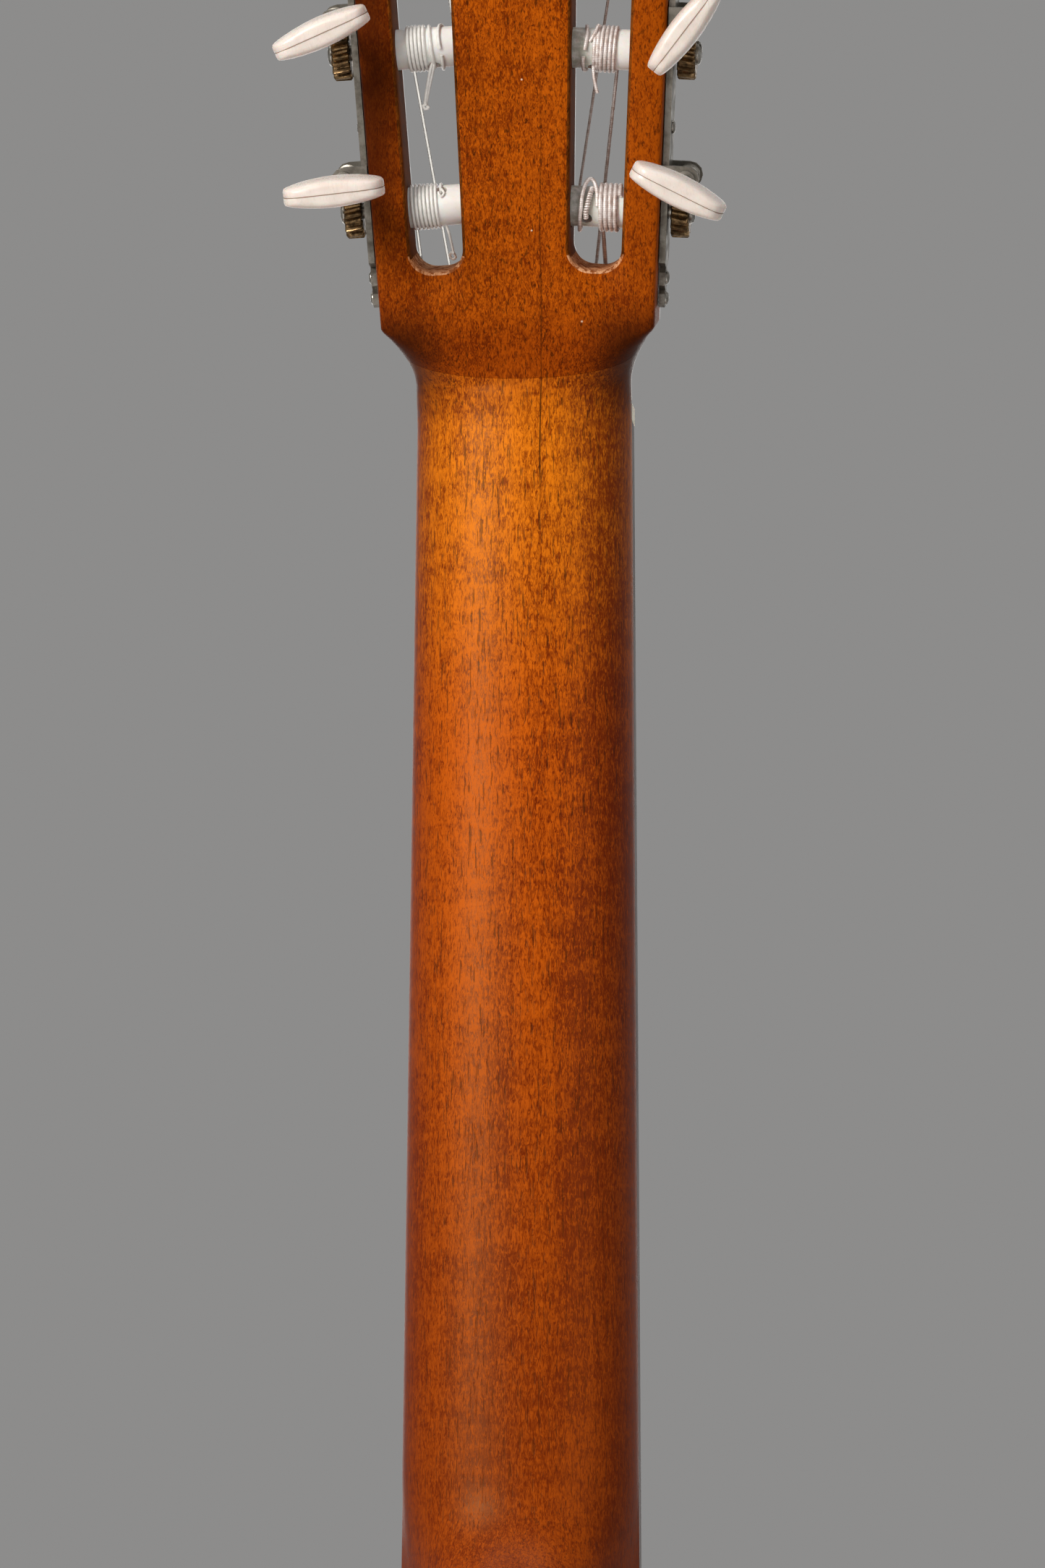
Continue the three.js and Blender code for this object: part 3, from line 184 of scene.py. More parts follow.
def tube(points, radius, sides=12, closed_ends=True):
    """A round bar through points, with rings carried along without twist. radius may be a list."""
    points = [Vector(p) for p in points]
    radii = radius if isinstance(radius, list) else [radius] * len(points)
    across = None
    rings = []
    for i, point in enumerate(points):
        before = points[max(0, i - 1)]
        after = points[min(len(points) - 1, i + 1)]
        along = (after - before).normalized()
        if across is None:
            across = along.orthogonal().normalized()
        across = (across - along * across.dot(along)).normalized()
        up = along.cross(across)
        rings.append([point + (across * cos(tau * k / sides) + up * sin(tau * k / sides)) * radii[i]
                      for k in range(sides)])
    return loft(rings, capped=closed_ends)


def joined(*parts):
    points, faces = [], []
    for part_points, part_faces in parts:
        start = len(points)
        points += list(part_points)
        faces += [tuple(i + start for i in face) for face in part_faces]
    return points, faces


def rounded_route(points, step=2.0):
    """A smooth curve through given points (Catmull-Rom), sampled about every step mm."""
    points = [Vector(p) for p in points]
    out = []
    for i in range(len(points) - 1):
        p0 = points[max(0, i - 1)]
        p1, p2 = points[i], points[i + 1]
        p3 = points[min(len(points) - 1, i + 2)]
        count = max(2, int((p2 - p1).length / step))
        for k in range(count):
            t = k / count
            out.append(0.5 * ((2 * p1) + (p2 - p0) * t + (2 * p0 - 5 * p1 + 4 * p2 - p3) * t * t
                              + (3 * p1 - p0 - 3 * p2 + p3) * t ** 3))
    out.append(points[-1])
    return out


def curve_between(p0, p1, p2, p3, distance, count):
    """Points from p1 towards p2 on a centripetal Catmull-Rom curve."""
    d0, d1, d2 = (distance(b - a) ** 0.5 for a, b in ((p0, p1), (p1, p2), (p2, p3)))
    t1 = ((p1 - p0) / d0 - (p2 - p0) / (d0 + d1) + (p2 - p1) / d1) * d1
    t2 = ((p2 - p1) / d1 - (p3 - p1) / (d1 + d2) + (p3 - p2) / d2) * d1
    square, cube = 3 * (p2 - p1) - 2 * t1 - t2, 2 * (p1 - p2) + t1 + t2
    return [p1 + t1 * t + square * t ** 2 + cube * t ** 3 for t in (k / count for k in range(count))]


def cut_with(piece, *cutters):
    """Subtracts closed point-and-face solids from a piece, for good."""
    for number, (points, faces) in enumerate(cutters):
        tool = mesh_piece(f"cutter_{number}", points, faces, piece.data.materials[0], body=None)
        change = piece.modifiers.new("cut", "BOOLEAN")
        change.operation = "DIFFERENCE"
        change.solver = "MANIFOLD"
        change.object = tool
        with bpy.context.temp_override(object=piece, active_object=piece):
            bpy.ops.object.modifier_apply(modifier=change.name)
        bpy.data.objects.remove(tool, do_unlink=True)


# ------------------------------------------------------------------ material helpers


def add(tree, kind, values=None, **settings):
    """One shader node; values are sockets to link or constants to set."""
    item = tree.nodes.new(kind)
    for key, value in settings.items():
        setattr(item, key, value)
    for key, value in (values or {}).items():
        if isinstance(value, bpy.types.NodeSocket):
            tree.links.new(value, item.inputs[key])
        else:
            item.inputs[key].default_value = value
    return item


def calc(tree, operation, a, b=0.0, c=0.0):
    values = {0: a, 1: b}
    if operation in ("MULTIPLY_ADD", "SMOOTH_MIN", "COMPARE"):
        values[2] = c
    return add(tree, "ShaderNodeMath", values, operation=operation).outputs[0]


def times(tree, a, b):
    return calc(tree, "MULTIPLY", a, b)


def colour(hexcode):
    """sRGB hex to linear RGBA."""
    parts = [int(hexcode[i:i + 2], 16) / 255 for i in (0, 2, 4)]
    return tuple(p / 12.92 if p <= 0.04045 else ((p + 0.055) / 1.055) ** 2.4 for p in parts) + (1.0,)


def mix(tree, share, a, b, mode="MIX"):
    item = add(tree, "ShaderNodeMix", {0: share, 6: a, 7: b}, data_type="RGBA", blend_type=mode)
    return item.outputs[2]


def steps(tree, value, low, high, to_low=0.0, to_high=1.0):
    """value from low..high to to_low..to_high, smoothly and clamped."""
    item = add(tree, "ShaderNodeMapRange", {0: value, 1: low, 2: high, 3: to_low, 4: to_high},
               interpolation_type="SMOOTHSTEP")
    return item.outputs[0]


def noise(tree, place, scale, detail=4.0, rough=0.55, distort=0.0):
    item = add(tree, "ShaderNodeTexNoise", {"Vector": place, "Scale": scale, "Detail": detail,
                                            "Roughness": rough, "Distortion": distort})
    return item.outputs["Fac"]


def stretched(tree, place, scale):
    return add(tree, "ShaderNodeVectorMath", {0: place, 1: scale}, operation="MULTIPLY").outputs[0]


def new_material(name):
    material = bpy.data.materials.new(name)
    material.use_nodes = True
    tree = material.node_tree
    surface = tree.nodes["Principled BSDF"]
    place = add(tree, "ShaderNodeTexCoord").outputs["Object"]
    return material, tree, surface, place


def feed(tree, surface, **values):
    names = {"base": "Base Color", "rough": "Roughness", "metal": "Metallic", "normal": "Normal",
             "coat": "Coat Weight", "coat_rough": "Coat Roughness", "through": "Transmission Weight",
             "inside": "Subsurface Weight", "ior": "IOR", "spec": "Specular IOR Level",
             "depth": "Subsurface Scale"}
    for key, value in values.items():
        socket = surface.inputs[names[key]]
        if isinstance(value, bpy.types.NodeSocket):
            tree.links.new(value, socket)
        else:
            socket.default_value = value


def bump(tree, height, distance, strength=1.0):
    item = add(tree, "ShaderNodeBump", {"Height": height, "Distance": distance * MM, "Strength": strength})
    return item.outputs["Normal"]


def grain_wood(name, light, dark, pore, gloss=0.4, coat=0.0, streaks=520.0, figure=0.3, shine=0.12,
               extra=None):
    """Stained hardwood with its grain along Z: streaks, gold flecks, pores and a ripple across."""
    material, tree, surface, place = new_material(name)
    broad = noise(tree, stretched(tree, place, (1.0, 1.0, 0.12)), 38.0, 3.0)
    fine = noise(tree, stretched(tree, place, (1.0, 1.0, 0.035)), streaks, 6.0, 0.65, 0.3)
    fleck = noise(tree, stretched(tree, place, (1.0, 1.0, 0.26)), 1900.0, 4.0, 0.6, 1.3)
    ripple = noise(tree, stretched(tree, place, (0.4, 0.4, 1.0)), 430.0, 4.0, 0.65, 1.1)
    shade = calc(tree, "MULTIPLY_ADD", fine, 0.3, times(tree, broad, 0.7))
    shade = calc(tree, "MULTIPLY_ADD", calc(tree, "SUBTRACT", ripple, 0.5), figure, shade)
    shade = calc(tree, "MULTIPLY_ADD", calc(tree, "SUBTRACT", fleck, 0.5), 1.3, shade)
    curl = noise(tree, stretched(tree, place, (0.16, 0.16, 1.0)), 210.0, 2.0, 0.5, 0.5)
    shade = calc(tree, "MULTIPLY_ADD", calc(tree, "SUBTRACT", curl, 0.5), 0.8 * figure, shade)
    tone = mix(tree, steps(tree, shade, 0.27, 0.74), colour(dark), colour(light))
    pores = noise(tree, stretched(tree, place, (1.0, 1.0, 0.09)), 1900.0, 2.0, 0.5)
    pores = steps(tree, pores, 0.60, 0.67)
    tone = mix(tree, times(tree, pores, 0.6), tone, colour(pore))
    if extra:
        tone = extra(tree, place, tone)
    rough = steps(tree, fleck, 0.3, 0.7, gloss - 0.06, gloss + 0.1)
    height = calc(tree, "MULTIPLY_ADD", pores, -0.6, times(tree, ripple, 0.5))
    height = calc(tree, "MULTIPLY_ADD", fleck, 0.6, height)
    feed(tree, surface, base=tone, rough=rough, coat=coat, coat_rough=0.2, spec=shine,
         normal=bump(tree, height, 0.06, 0.7))
    surface.inputs["Specular Tint"].default_value = (1.0, 0.6, 0.25, 1.0)
    return material


def split(tree, place):
    item = add(tree, "ShaderNodeSeparateXYZ", {0: place})
    return item.outputs[0], item.outputs[1], item.outputs[2]


def thin_line(tree, distance, width):
    """1 within width mm of distance 0 (in metres), fading out."""
    return steps(tree, calc(tree, "ABSOLUTE", distance), 0.35 * width * MM, width * MM, 1.0, 0.0)


# Small marks on the neck: place in mm, radius, and whether the mark is pale.
MARKS = [
    ((-7.0, -29.6, 829.0), 0.42, True), ((-7.6, -29.6, 825.9), 0.3, True), ((-15.7, -26.0, 835.2), 0.4, True),
    ((-2.3, -9.6, 891.4), 0.3, True), ((-4.0, -19.7, 856.4), 0.28, True),
    ((-20.4, -38.0, 817.4), 0.5, False), ((-19.8, -37.2, 818.2), 0.35, True),
    ((17.5, -29.0, 836.0), 0.35, True),
]


def marked(tree, place, tone):
    for point, size, pale in MARKS:
        spot = tuple(c * MM for c in point)
        away = add(tree, "ShaderNodeVectorMath", {0: place, 1: spot}, operation="DISTANCE").outputs["Value"]
        near = steps(tree, away, 0.4 * size * MM, size * MM, 0.8, 0.0)
        tone = mix(tree, near, tone, colour("f0d8bc" if pale else "1a0a04"))
    return tone


def neck_extra(tree, place, tone):
    """Painted shade: darker, redder edges, a darker lower end, and a dark throat and coves; also the
    lamination line, and the worn marks.
    """
    x, _, z = split(tree, place)
    # Painted shade: the neck's edges, where the surface turns away from the light, darker and redder.
    edge = steps(tree, calc(tree, "ABSOLUTE", x), 0.012, 0.034)
    edge = times(tree, edge, steps(tree, z, 0.824, 0.846, 0.62, 0.3))
    tone = mix(tree, edge, tone, colour("5a1b03"))
    # Painted shade: the shaft darkens towards its lower end, away from the key light (this mix and the next).
    shaft = steps(tree, z, 0.73, 0.805, 1.0, 0.0)
    tone = mix(tree, shaft, tone, (0.74, 0.5, 0.3, 1.0), "MULTIPLY")
    low = steps(tree, z, 0.52, 0.78, 0.5, 0.0)
    tone = mix(tree, low, tone, colour("6a2402"))
    cloud = noise(tree, stretched(tree, place, (1.0, 1.0, 0.3)), 70.0, 3.0, 0.6)
    treble_side = times(tree, steps(tree, x, 0.020, 0.034), steps(tree, z, 0.84, 0.87))
    treble_side = times(tree, treble_side, steps(tree, cloud, 0.38, 0.6, 0.35, 0.85))
    tone = mix(tree, treble_side, tone, colour("3a0f02"))
    # Painted shade in the throat below the head, deeper still in the recessed coves at each side.
    throat_shade = steps(tree, z, 0.808, 0.827)
    throat_shade = times(tree, throat_shade, steps(tree, z, 0.829, 0.842, 1.0, 0.0))
    tone = mix(tree, times(tree, throat_shade, 0.75), tone, (0.6, 0.46, 0.3, 1.0), "MULTIPLY")
    cove_shade = times(tree, throat_shade, steps(tree, calc(tree, "ABSOLUTE", x), 0.012, 0.028, 0.0, 0.8))
    tone = mix(tree, cove_shade, tone, colour("2c0e03"))
    wander = noise(tree, stretched(tree, place, (0.0, 0.0, 1.0)), 30.0, 2.0)
    wander = calc(tree, "MULTIPLY_ADD", wander, 0.0016, -0.0008)
    lean = calc(tree, "MULTIPLY_ADD", calc(tree, "SUBTRACT", z, 0.86), 0.014, 0.0062)
    seam = thin_line(tree, calc(tree, "ADD", calc(tree, "ADD", x, lean), wander), 0.24)
    reach = times(tree, steps(tree, z, 0.774, 0.80), steps(tree, z, 0.826, 0.90, 1.0, 0.22))
    seam = times(tree, seam, reach)
    seam = times(tree, seam, steps(tree, noise(tree, place, 60.0, 2.0), 0.35, 0.6, 0.25, 1.0))
    tone = mix(tree, times(tree, seam, 0.85), tone, colour("200b03"))
    return marked(tree, place, tone)


def chipped(tree, place, tone):
    """Finish left in patches on a worn edge."""
    patch = steps(tree, noise(tree, place, 620.0, 3.0, 0.6), 0.50, 0.58)
    return mix(tree, times(tree, patch, 0.85), tone, colour("7c3a10"))


def spruce_material(name="aged_spruce", light="dca355", dark="b87a35"):
    material, tree, surface, place = new_material(name)
    x, _, _ = split(tree, place)
    sway = noise(tree, stretched(tree, place, (1.0, 1.0, 0.25)), 9.0, 2.0)
    line = calc(tree, "MULTIPLY_ADD", sway, 0.010, calc(tree, "ABSOLUTE", x))
    rings = add(tree, "ShaderNodeTexNoise", {"W": line, "Scale": 700.0, "Detail": 1.0},
                noise_dimensions="1D").outputs["Fac"]
    fibre = noise(tree, stretched(tree, place, (1.0, 1.0, 0.02)), 1600.0, 4.0)
    silk = noise(tree, stretched(tree, place, (0.25, 1.0, 1.0)), 60.0, 3.0, 0.6, 0.6)
    tone = mix(tree, steps(tree, rings, 0.42, 0.66), colour(light), colour(dark))
    tone = mix(tree, times(tree, fibre, 0.22), tone, colour("f0c684"))
    tone = mix(tree, steps(tree, silk, 0.5, 0.75, 0.0, 0.25), tone, colour("f4d296"))
    feed(tree, surface, base=tone, rough=steps(tree, fibre, 0.3, 0.7, 0.24, 0.36), coat=0.5, coat_rough=0.1,
         normal=bump(tree, rings, 0.02, 0.3))
    return material


def dark_wood(name, light, dark, gloss=0.45, coat=0.0):
    material, tree, surface, place = new_material(name)
    streak = noise(tree, stretched(tree, place, (1.0, 1.0, 0.03)), 420.0, 5.0, 0.65, 0.4)
    broad = noise(tree, stretched(tree, place, (1.0, 1.0, 0.08)), 90.0, 3.0)
    pores = steps(tree, noise(tree, stretched(tree, place, (1.0, 1.0, 0.05)), 1700.0, 2.0), 0.6, 0.68)
    shade = calc(tree, "MULTIPLY_ADD", streak, 0.6, times(tree, broad, 0.4))
    tone = mix(tree, steps(tree, shade, 0.35, 0.65), colour(dark), colour(light))
    tone = mix(tree, times(tree, pores, 0.5), tone, colour("0c0605"))
    feed(tree, surface, base=tone, rough=steps(tree, streak, 0.3, 0.7, gloss - 0.06, gloss + 0.08), coat=coat,
         coat_rough=0.15, normal=bump(tree, times(tree, pores, -1.0), 0.06, 0.5))
    return material


def plastic(name, tone, shade, rough=0.32, inside=0.25, stain=None):
    """Moulded plastic or nylon: faint mottling, soft light inside, small scratches."""
    material, tree, surface, place = new_material(name)
    mottle = noise(tree, place, 240.0, 4.0, 0.6)
    wear = noise(tree, stretched(tree, place, (1.0, 1.0, 0.2)), 1500.0, 4.0, 0.7)
    base = mix(tree, steps(tree, mottle, 0.35, 0.7, 0.0, 0.5), colour(tone), colour(shade))
    base = mix(tree, steps(tree, wear, 0.60, 0.72, 0.0, 0.25), base, colour("b9ab95"))
    if stain:
        base = stain(tree, place, base)
    feed(tree, surface, base=base, rough=steps(tree, wear, 0.35, 0.65, rough - 0.06, rough + 0.12),
         inside=inside,
         depth=0.004, normal=bump(tree, wear, 0.02, 0.4))
    return material


def roller_stain(tree, place, base):
    """Grey-green tarnish from the wound strings, near the middle of the head on the bass side."""
    x, _, _ = split(tree, place)
    bass = steps(tree, x, -0.0215, -0.0165, 0.0, 1.0)
    bass = times(tree, bass, steps(tree, x, -0.002, 0.0, 1.0, 0.0))
    cloud = steps(tree, noise(tree, place, 420.0, 4.0, 0.7), 0.25, 0.6, 0.35, 1.0)
    return mix(tree, times(tree, times(tree, bass, cloud), 0.8), base, colour("8b8a78"))


def metal(name, bright, dull, rough=0.3, grime="2a2118", amount=0.5, scale=500.0):
    material, tree, surface, place = new_material(name)
    cloud = noise(tree, place, scale, 5.0, 0.65)
    scratch = noise(tree, stretched(tree, place, (1.0, 1.0, 0.08)), 2600.0, 3.0, 0.6)
    tone = mix(tree, steps(tree, cloud, 0.35, 0.65), colour(bright), colour(dull))
    dirt = steps(tree, noise(tree, place, 0.6 * scale, 4.0, 0.7), 0.52, 0.68, 0.0, amount)
    tone = mix(tree, dirt, tone, colour(grime))
    feed(tree, surface, base=tone, metal=1.0, rough=steps(tree, cloud, 0.3, 0.7, rough - 0.08, rough + 0.15),
         normal=bump(tree, scratch, 0.01, 0.4))
    return material


def clear_nylon(name, clearness):
    material, tree, surface, place = new_material(name)
    haze = noise(tree, place, 900.0, 3.0)
    base = mix(tree, steps(tree, haze, 0.3, 0.7), colour("fbf9f4"), colour("eceae4"))
    feed(tree, surface, base=base, rough=steps(tree, haze, 0.3, 0.7, 0.14, 0.28), through=clearness, ior=1.45,
         inside=0.0)
    return material


def wound_wire():
    """Silvered copper wrap; the turns show as fine rings round the string."""
    material, tree, surface, place = new_material("wound_wire")
    wear = noise(tree, place, 700.0, 4.0, 0.6)
    tone = mix(tree, steps(tree, wear, 0.4, 0.65), colour("fbf3ef"), colour("dccbc2"))
    wrap = add(tree, "ShaderNodeTexWave", {"Vector": place, "Scale": 640.0, "Distortion": 0.2},
               bands_direction="Z").outputs["Fac"]
    tone = mix(tree, times(tree, wrap, 0.22), tone, colour("8a7264"))
    feed(tree, surface, base=tone, metal=0.3, rough=0.36, normal=bump(tree, wrap, 0.06, 0.6))
    return material


def rosette_material():
    """Rings of small tiles round the soundhole, between plain dark and light lines."""
    material, tree, surface, place = new_material("rosette_mosaic")
    x, _, z = split(tree, place)
    up = calc(tree, "SUBTRACT", z, SOUNDHOLE_Z * MM)
    radius = calc(tree, "SQRT", calc(tree, "ADD", times(tree, x, x), times(tree, up, up)))
    angle = calc(tree, "ARCTAN2", up, x)
    ring = calc(tree, "FLOOR", times(tree, radius, 1000.0))
    tile = calc(tree, "FLOOR", calc(tree, "MULTIPLY_ADD", angle, 56.0, times(tree, ring, 0.5)))
    cell = add(tree, "ShaderNodeCombineXYZ", {0: ring, 1: calc(tree, "PINGPONG", tile, 4.0)}).outputs[0]
    pick = add(tree, "ShaderNodeTexWhiteNoise", {"Vector": cell}, noise_dimensions="2D").outputs["Value"]
    tone = mix(tree, steps(tree, pick, 0.30, 0.36), colour("4a1d10"), colour("9a5a26"))
    tone = mix(tree, steps(tree, pick, 0.55, 0.60), tone, colour("2f4a30"))
    tone = mix(tree, steps(tree, pick, 0.76, 0.80), tone, colour("d9b478"))
    middle = calc(tree, "ABSOLUTE", calc(tree, "SUBTRACT", radius, 0.052))
    border = calc(tree, "GREATER_THAN", middle, 0.0042)
    stripe = calc(tree, "GREATER_THAN", calc(tree, "SINE", times(tree, radius, 7000.0)), 0.0)
    tone = mix(tree, border, tone, mix(tree, stripe, colour("1d110b"), colour("d6b27a")))
    fibre = noise(tree, place, 1500.0, 3.0)
    tone = mix(tree, times(tree, fibre, 0.2), tone, colour("2b1a10"))
    feed(tree, surface, base=tone, rough=0.3, coat=0.5, coat_rough=0.1, normal=bump(tree, pick, 0.01, 0.2))
    return material


def paper_material():
    material, tree, surface, place = new_material("label_paper")
    fibre = noise(tree, place, 800.0, 4.0, 0.6)
    tone = mix(tree, fibre, colour("e6d9b8"), colour("cdb98c"))
    feed(tree, surface, base=tone, rough=0.85, normal=bump(tree, fibre, 0.03, 0.4))
    return material


# ------------------------------------------------------------------ camera, lights and floor


def make_camera():
    """Behind the neck, a little to the bass side and below, looking slightly up."""
    place = Vector((-0.276, 3.201, 0.270))
    target = Vector((-0.004, 0.0, 0.7193))
    forward = (target - place).normalized()
    level = forward.cross(Vector((0, 0, 1))).normalized()
    up = level.cross(forward)
    roll = radians(0.23)
    right = level * cos(roll) + up * sin(roll)
    up = right.cross(forward)
    camera = bpy.data.cameras.new("camera")
    camera.lens = 313.5
    camera.clip_end = 60
    holder = bpy.data.objects.new("camera", camera)
    holder.matrix_world = Matrix((
        (right.x, up.x, -forward.x, place.x), (right.y, up.y, -forward.y, place.y),
        (right.z, up.z, -forward.z, place.z), (0, 0, 0, 1)))
    bpy.context.scene.collection.objects.link(holder)
    bpy.context.scene.camera = holder


def soft_light(name, place, target, width, height, power, tint=(1, 1, 1)):
    light = bpy.data.lights.new(name, "AREA")
    light.shape = "RECTANGLE"
    light.size = width
    light.size_y = height
    light.energy = power
    light.color = tint
    holder = bpy.data.objects.new(name, light)
    holder.location = place
    aim = Vector(target) - Vector(place)
    holder.rotation_euler = aim.to_track_quat("-Z", "Y").to_euler()
    holder.visible_camera = False
    bpy.context.scene.collection.objects.link(holder)


def make_stage():
    floor_material, tree, surface, place = new_material("pale_floor")
    cloud = noise(tree, place, 3.0, 3.0)
    base = mix(tree, cloud, (0.62, 0.61, 0.60, 1), (0.68, 0.67, 0.66, 1))
    feed(tree, surface, base=base, rough=0.8)
    floor = mesh_piece("floor", [(-9000, -9000, -1), (9000, -9000, -1), (9000, 9000, -1), (-9000, 9000, -1)],
                       [(0, 1, 2, 3)], floor_material, body=None, turned_out=False)
    world = bpy.data.worlds.new("studio")
    world.use_nodes = True
    world.node_tree.nodes["Background"].inputs[0].default_value = (0.78, 0.77, 0.76, 1)
    world.node_tree.nodes["Background"].inputs[1].default_value = 0.34
    bpy.context.scene.world = world
    soft_light("key", (1.15, 1.75, 1.35), (0, 0, 0.80), 0.75, 0.8, 40, (1.0, 0.97, 0.93))
    soft_light("fill", (-1.9, 2.0, 0.9), (0, 0, 0.7), 1.4, 1.8, 9, (0.95, 0.97, 1.0))
    soft_light("front", (0.35, -2.9, 1.0), (0, 0, 0.45), 1.9, 1.9, 13, (1.0, 0.98, 0.95))
    soft_light("top", (0.0, 0.3, 2.8), (0, 0, 0.5), 1.8, 1.8, 22)
    view = bpy.context.scene.view_settings
    view.view_transform = "Standard"
    view.look = "None"


# ------------------------------------------------------------------ places on the head


def head_point(u, w, d):
    """Across the head, along it from the nut, and behind its front face."""
    return (u, FRONT_Y + d * cos(TILT) + w * sin(TILT), HEAD_Z + w * cos(TILT) - d * sin(TILT))


def in_head(side, along, out):
    u = side * (SHOULDER_HALF + along * sin(SPLAY) + out * cos(SPLAY))
    return u, SHOULDER_W + along * cos(SPLAY) - out * sin(SPLAY)


def tuner_along(side, seat):
    return (TREBLE_TUNERS if side > 0 else BASS_TUNERS) + seat * TUNER_SPACING


def tuner_place(number):
    """Turns (out, back, along) about tuner number's roller axis into a point of the frame."""
    side, seat = TUNERS[number]

    def place(out, back, along):
        u, w = in_head(side, tuner_along(side, seat) + along, out)
        return head_point(u, w, ROLLER_DEPTH + back)

    return place


# ------------------------------------------------------------------ neck and headstock


def side_half(w):
    return SHOULDER_HALF + (w - SHOULDER_W) * tan(SPLAY)


def flare_half(w):
    share = clamp((w - FLARE_START) / (SHOULDER_W - FLARE_START))
    return lerp(NUT_WIDTH / 2, SHOULDER_HALF, share ** 1.6)


def finger_half(z):
    return lerp(NUT_WIDTH, JOINT_WIDTH, (NUT_Z - z) / (NUT_Z - BODY_LENGTH)) / 2


def neck_section(half, depth, square, last=0.04):
    """(across, depth) pairs: a rounded D at 0 square, a slab with eased corners at 1."""
    across_power = lerp(1.0, 0.07, square)
    depth_power = lerp(1 / 1.2, 0.07, square)
    side = [(half, 0.0)]
    for k in range(1, 24):
        angle = pi / 2 * k / 24
        side.append((half * cos(angle) ** across_power, depth * sin(angle) ** depth_power))
    end = max(last, cos(pi / 2 * 23.5 / 24) ** across_power * 0.5) * half
    side.append((end, depth))
    return side + flat_end(end, depth) + [(-x, d) for x, d in reversed(side)]


def flat_end(end, depth):
    return [(end * (1 - k / 4), depth) for k in range(1, 8)]


HEEL_BACK = FRONT_Y + DEPTH_NECK + BACK_ARCH - 2.4 - GAP
HEEL_FOOT, HEEL_LENGTH, HEEL_CAP = 17.0, 70.0, 13.0


def heel_cap_half(z):
    share = min(1.0, (z - BODY_LENGTH) / (HEEL_FOOT + 0.5))
    return max(2.0, HEEL_CAP * sqrt(1 - share ** 2))


def neck_ring(z):
    half = finger_half(z)
    depth = lerp(NECK_DEPTH_JOINT, NECK_DEPTH_NUT, (z - BODY_LENGTH) / (NUT_Z - BODY_LENGTH))
    fade = clamp((z - BODY_LENGTH - HEEL_FOOT) / (HEEL_LENGTH - HEEL_FOOT))
    heel = (1 - fade) ** 3
    total = lerp(depth, HEEL_BACK - FRONT_Y, heel)
    cap = heel_cap_half(min(z, BODY_LENGTH + HEEL_FOOT))
    side = []
    for x, d in neck_section(half, total, 0)[:25]:
        wide = lerp(half, cap, (d / total) ** 0.8)
        side.append((lerp(x, wide, sqrt(heel)), d))
    pairs = side + flat_end(*side[-1]) + [(-x, d) for x, d in reversed(side)]
    return [(x, FRONT_Y + d, z) for x, d in pairs]


def tilted_ring(w, tilt, depth, square):
    front = head_point(0, w, VENEER + GAP)
    half = side_half(w) if w > SHOULDER_W else flare_half(w)
    angle = tilt * TILT
    return [(x, front[1] + d * cos(angle), front[2] - d * sin(angle)) for x,
            d in neck_section(half, depth, square)]


def eased(rings, count):
    """Rings between rings, on a smooth curve through each point."""
    def distances(steps_between):
        return np.maximum(np.linalg.norm(steps_between, axis=1, keepdims=True), 1e-6)

    out = []
    arrays = [np.array(ring) for ring in rings]
    for i in range(1, len(arrays) - 2):
        out += curve_between(*arrays[i - 1:i + 3], distances, count)
    return [[tuple(point) for point in ring] for ring in out]


def head_rings():
    """Sections from below the nut to past the tip, swinging over to the head's own tilt."""
    wood = HEAD_THICKNESS - VENEER - GAP
    knots = [neck_ring(NUT_Z - 40), neck_ring(NUT_Z - 22), neck_ring(NUT_Z - 10), neck_ring(NUT_Z - 2)]
    knots += [tilted_ring(*knot) for knot in (
        (1.5, 0.36, wood + 1.7, 0.02), (5.5, 0.72, wood + 0.7, 0.14), (9.5, 0.94, wood + 0.15, 0.36),
        (13.5, 1.0, wood, 0.62), (17, 1.0, wood, 0.86), (SHOULDER_W, 1.0, wood, 1.0),
        (SHOULDER_W + 2.5, 1.0, wood, 1.0))]
    rings = eased(knots, 8)
    rings += [tilted_ring(w, 1.0, wood, 1.0)
              for w in (SHOULDER_W, SHOULDER_W + 1.2, 40, 80, 120, 150, HEAD_LENGTH + 4)]
    return rings


def slot_outline(side, radius=5.2):
    low, high = -RAIL - SLOT_WIDTH, -RAIL
    corners = [(high - radius, SLOT_END - radius, 0), (low + radius, SLOT_END - radius, 1),
               (low + radius, SLOT_START + radius, 2), (high - radius, SLOT_START + radius, 3)]
    outline = []
    for out, along, quarter in corners:
        for k in range(11):
            angle = (quarter + k / 10) * pi / 2
            here = along + radius * sin(angle)
            lean = (here - SLOT_START) * tan(SLOT_OPENING) if quarter in (1, 2) else 0.0
            outline.append(in_head(side, here, out + radius * cos(angle) - lean))
    return outline


def roller_hole(number):
    place = tuner_place(number)
    reach = [(-RAIL - SLOT_WIDTH - 6.3, ROLLER_RADIUS + 0.3), (3, ROLLER_RADIUS + 0.3)]
    return turned(reach, place, 40)


def ramp(side):
    """The sloping cut below each slot, where the outer strings pass down to the rollers."""
    nut_w, nut_d = -RISE_NUT * sin(TILT), -RISE_NUT * cos(TILT)
    roller_w = SHOULDER_W + tuner_along(side, 0) * cos(SPLAY)
    slope = (ROLLER_DEPTH - ROLLER_RADIUS - 0.5 - nut_d) / (roller_w - nut_w)
    slot_w = SHOULDER_W + SLOT_START + 4.6
    start_w = nut_w - (nut_d + 2.4) / slope
    middle = SHOULDER_HALF - RAIL - SLOT_WIDTH / 2 + SLOT_START * sin(SPLAY)
    rings = []
    for w in (start_w, slot_w):
        floor = nut_d + slope * (w - nut_w) + 1.4
        half = SLOT_WIDTH / 2 - 0.6
        ring = [(-half, -1.5), (-half, floor - 1), (1 - half, floor), (half - 1, floor), (half, floor - 1),
                (half, -1.5)]
        rings.append([head_point(side * (middle + x), w, d) for x, d in ring])
    return loft(rings)


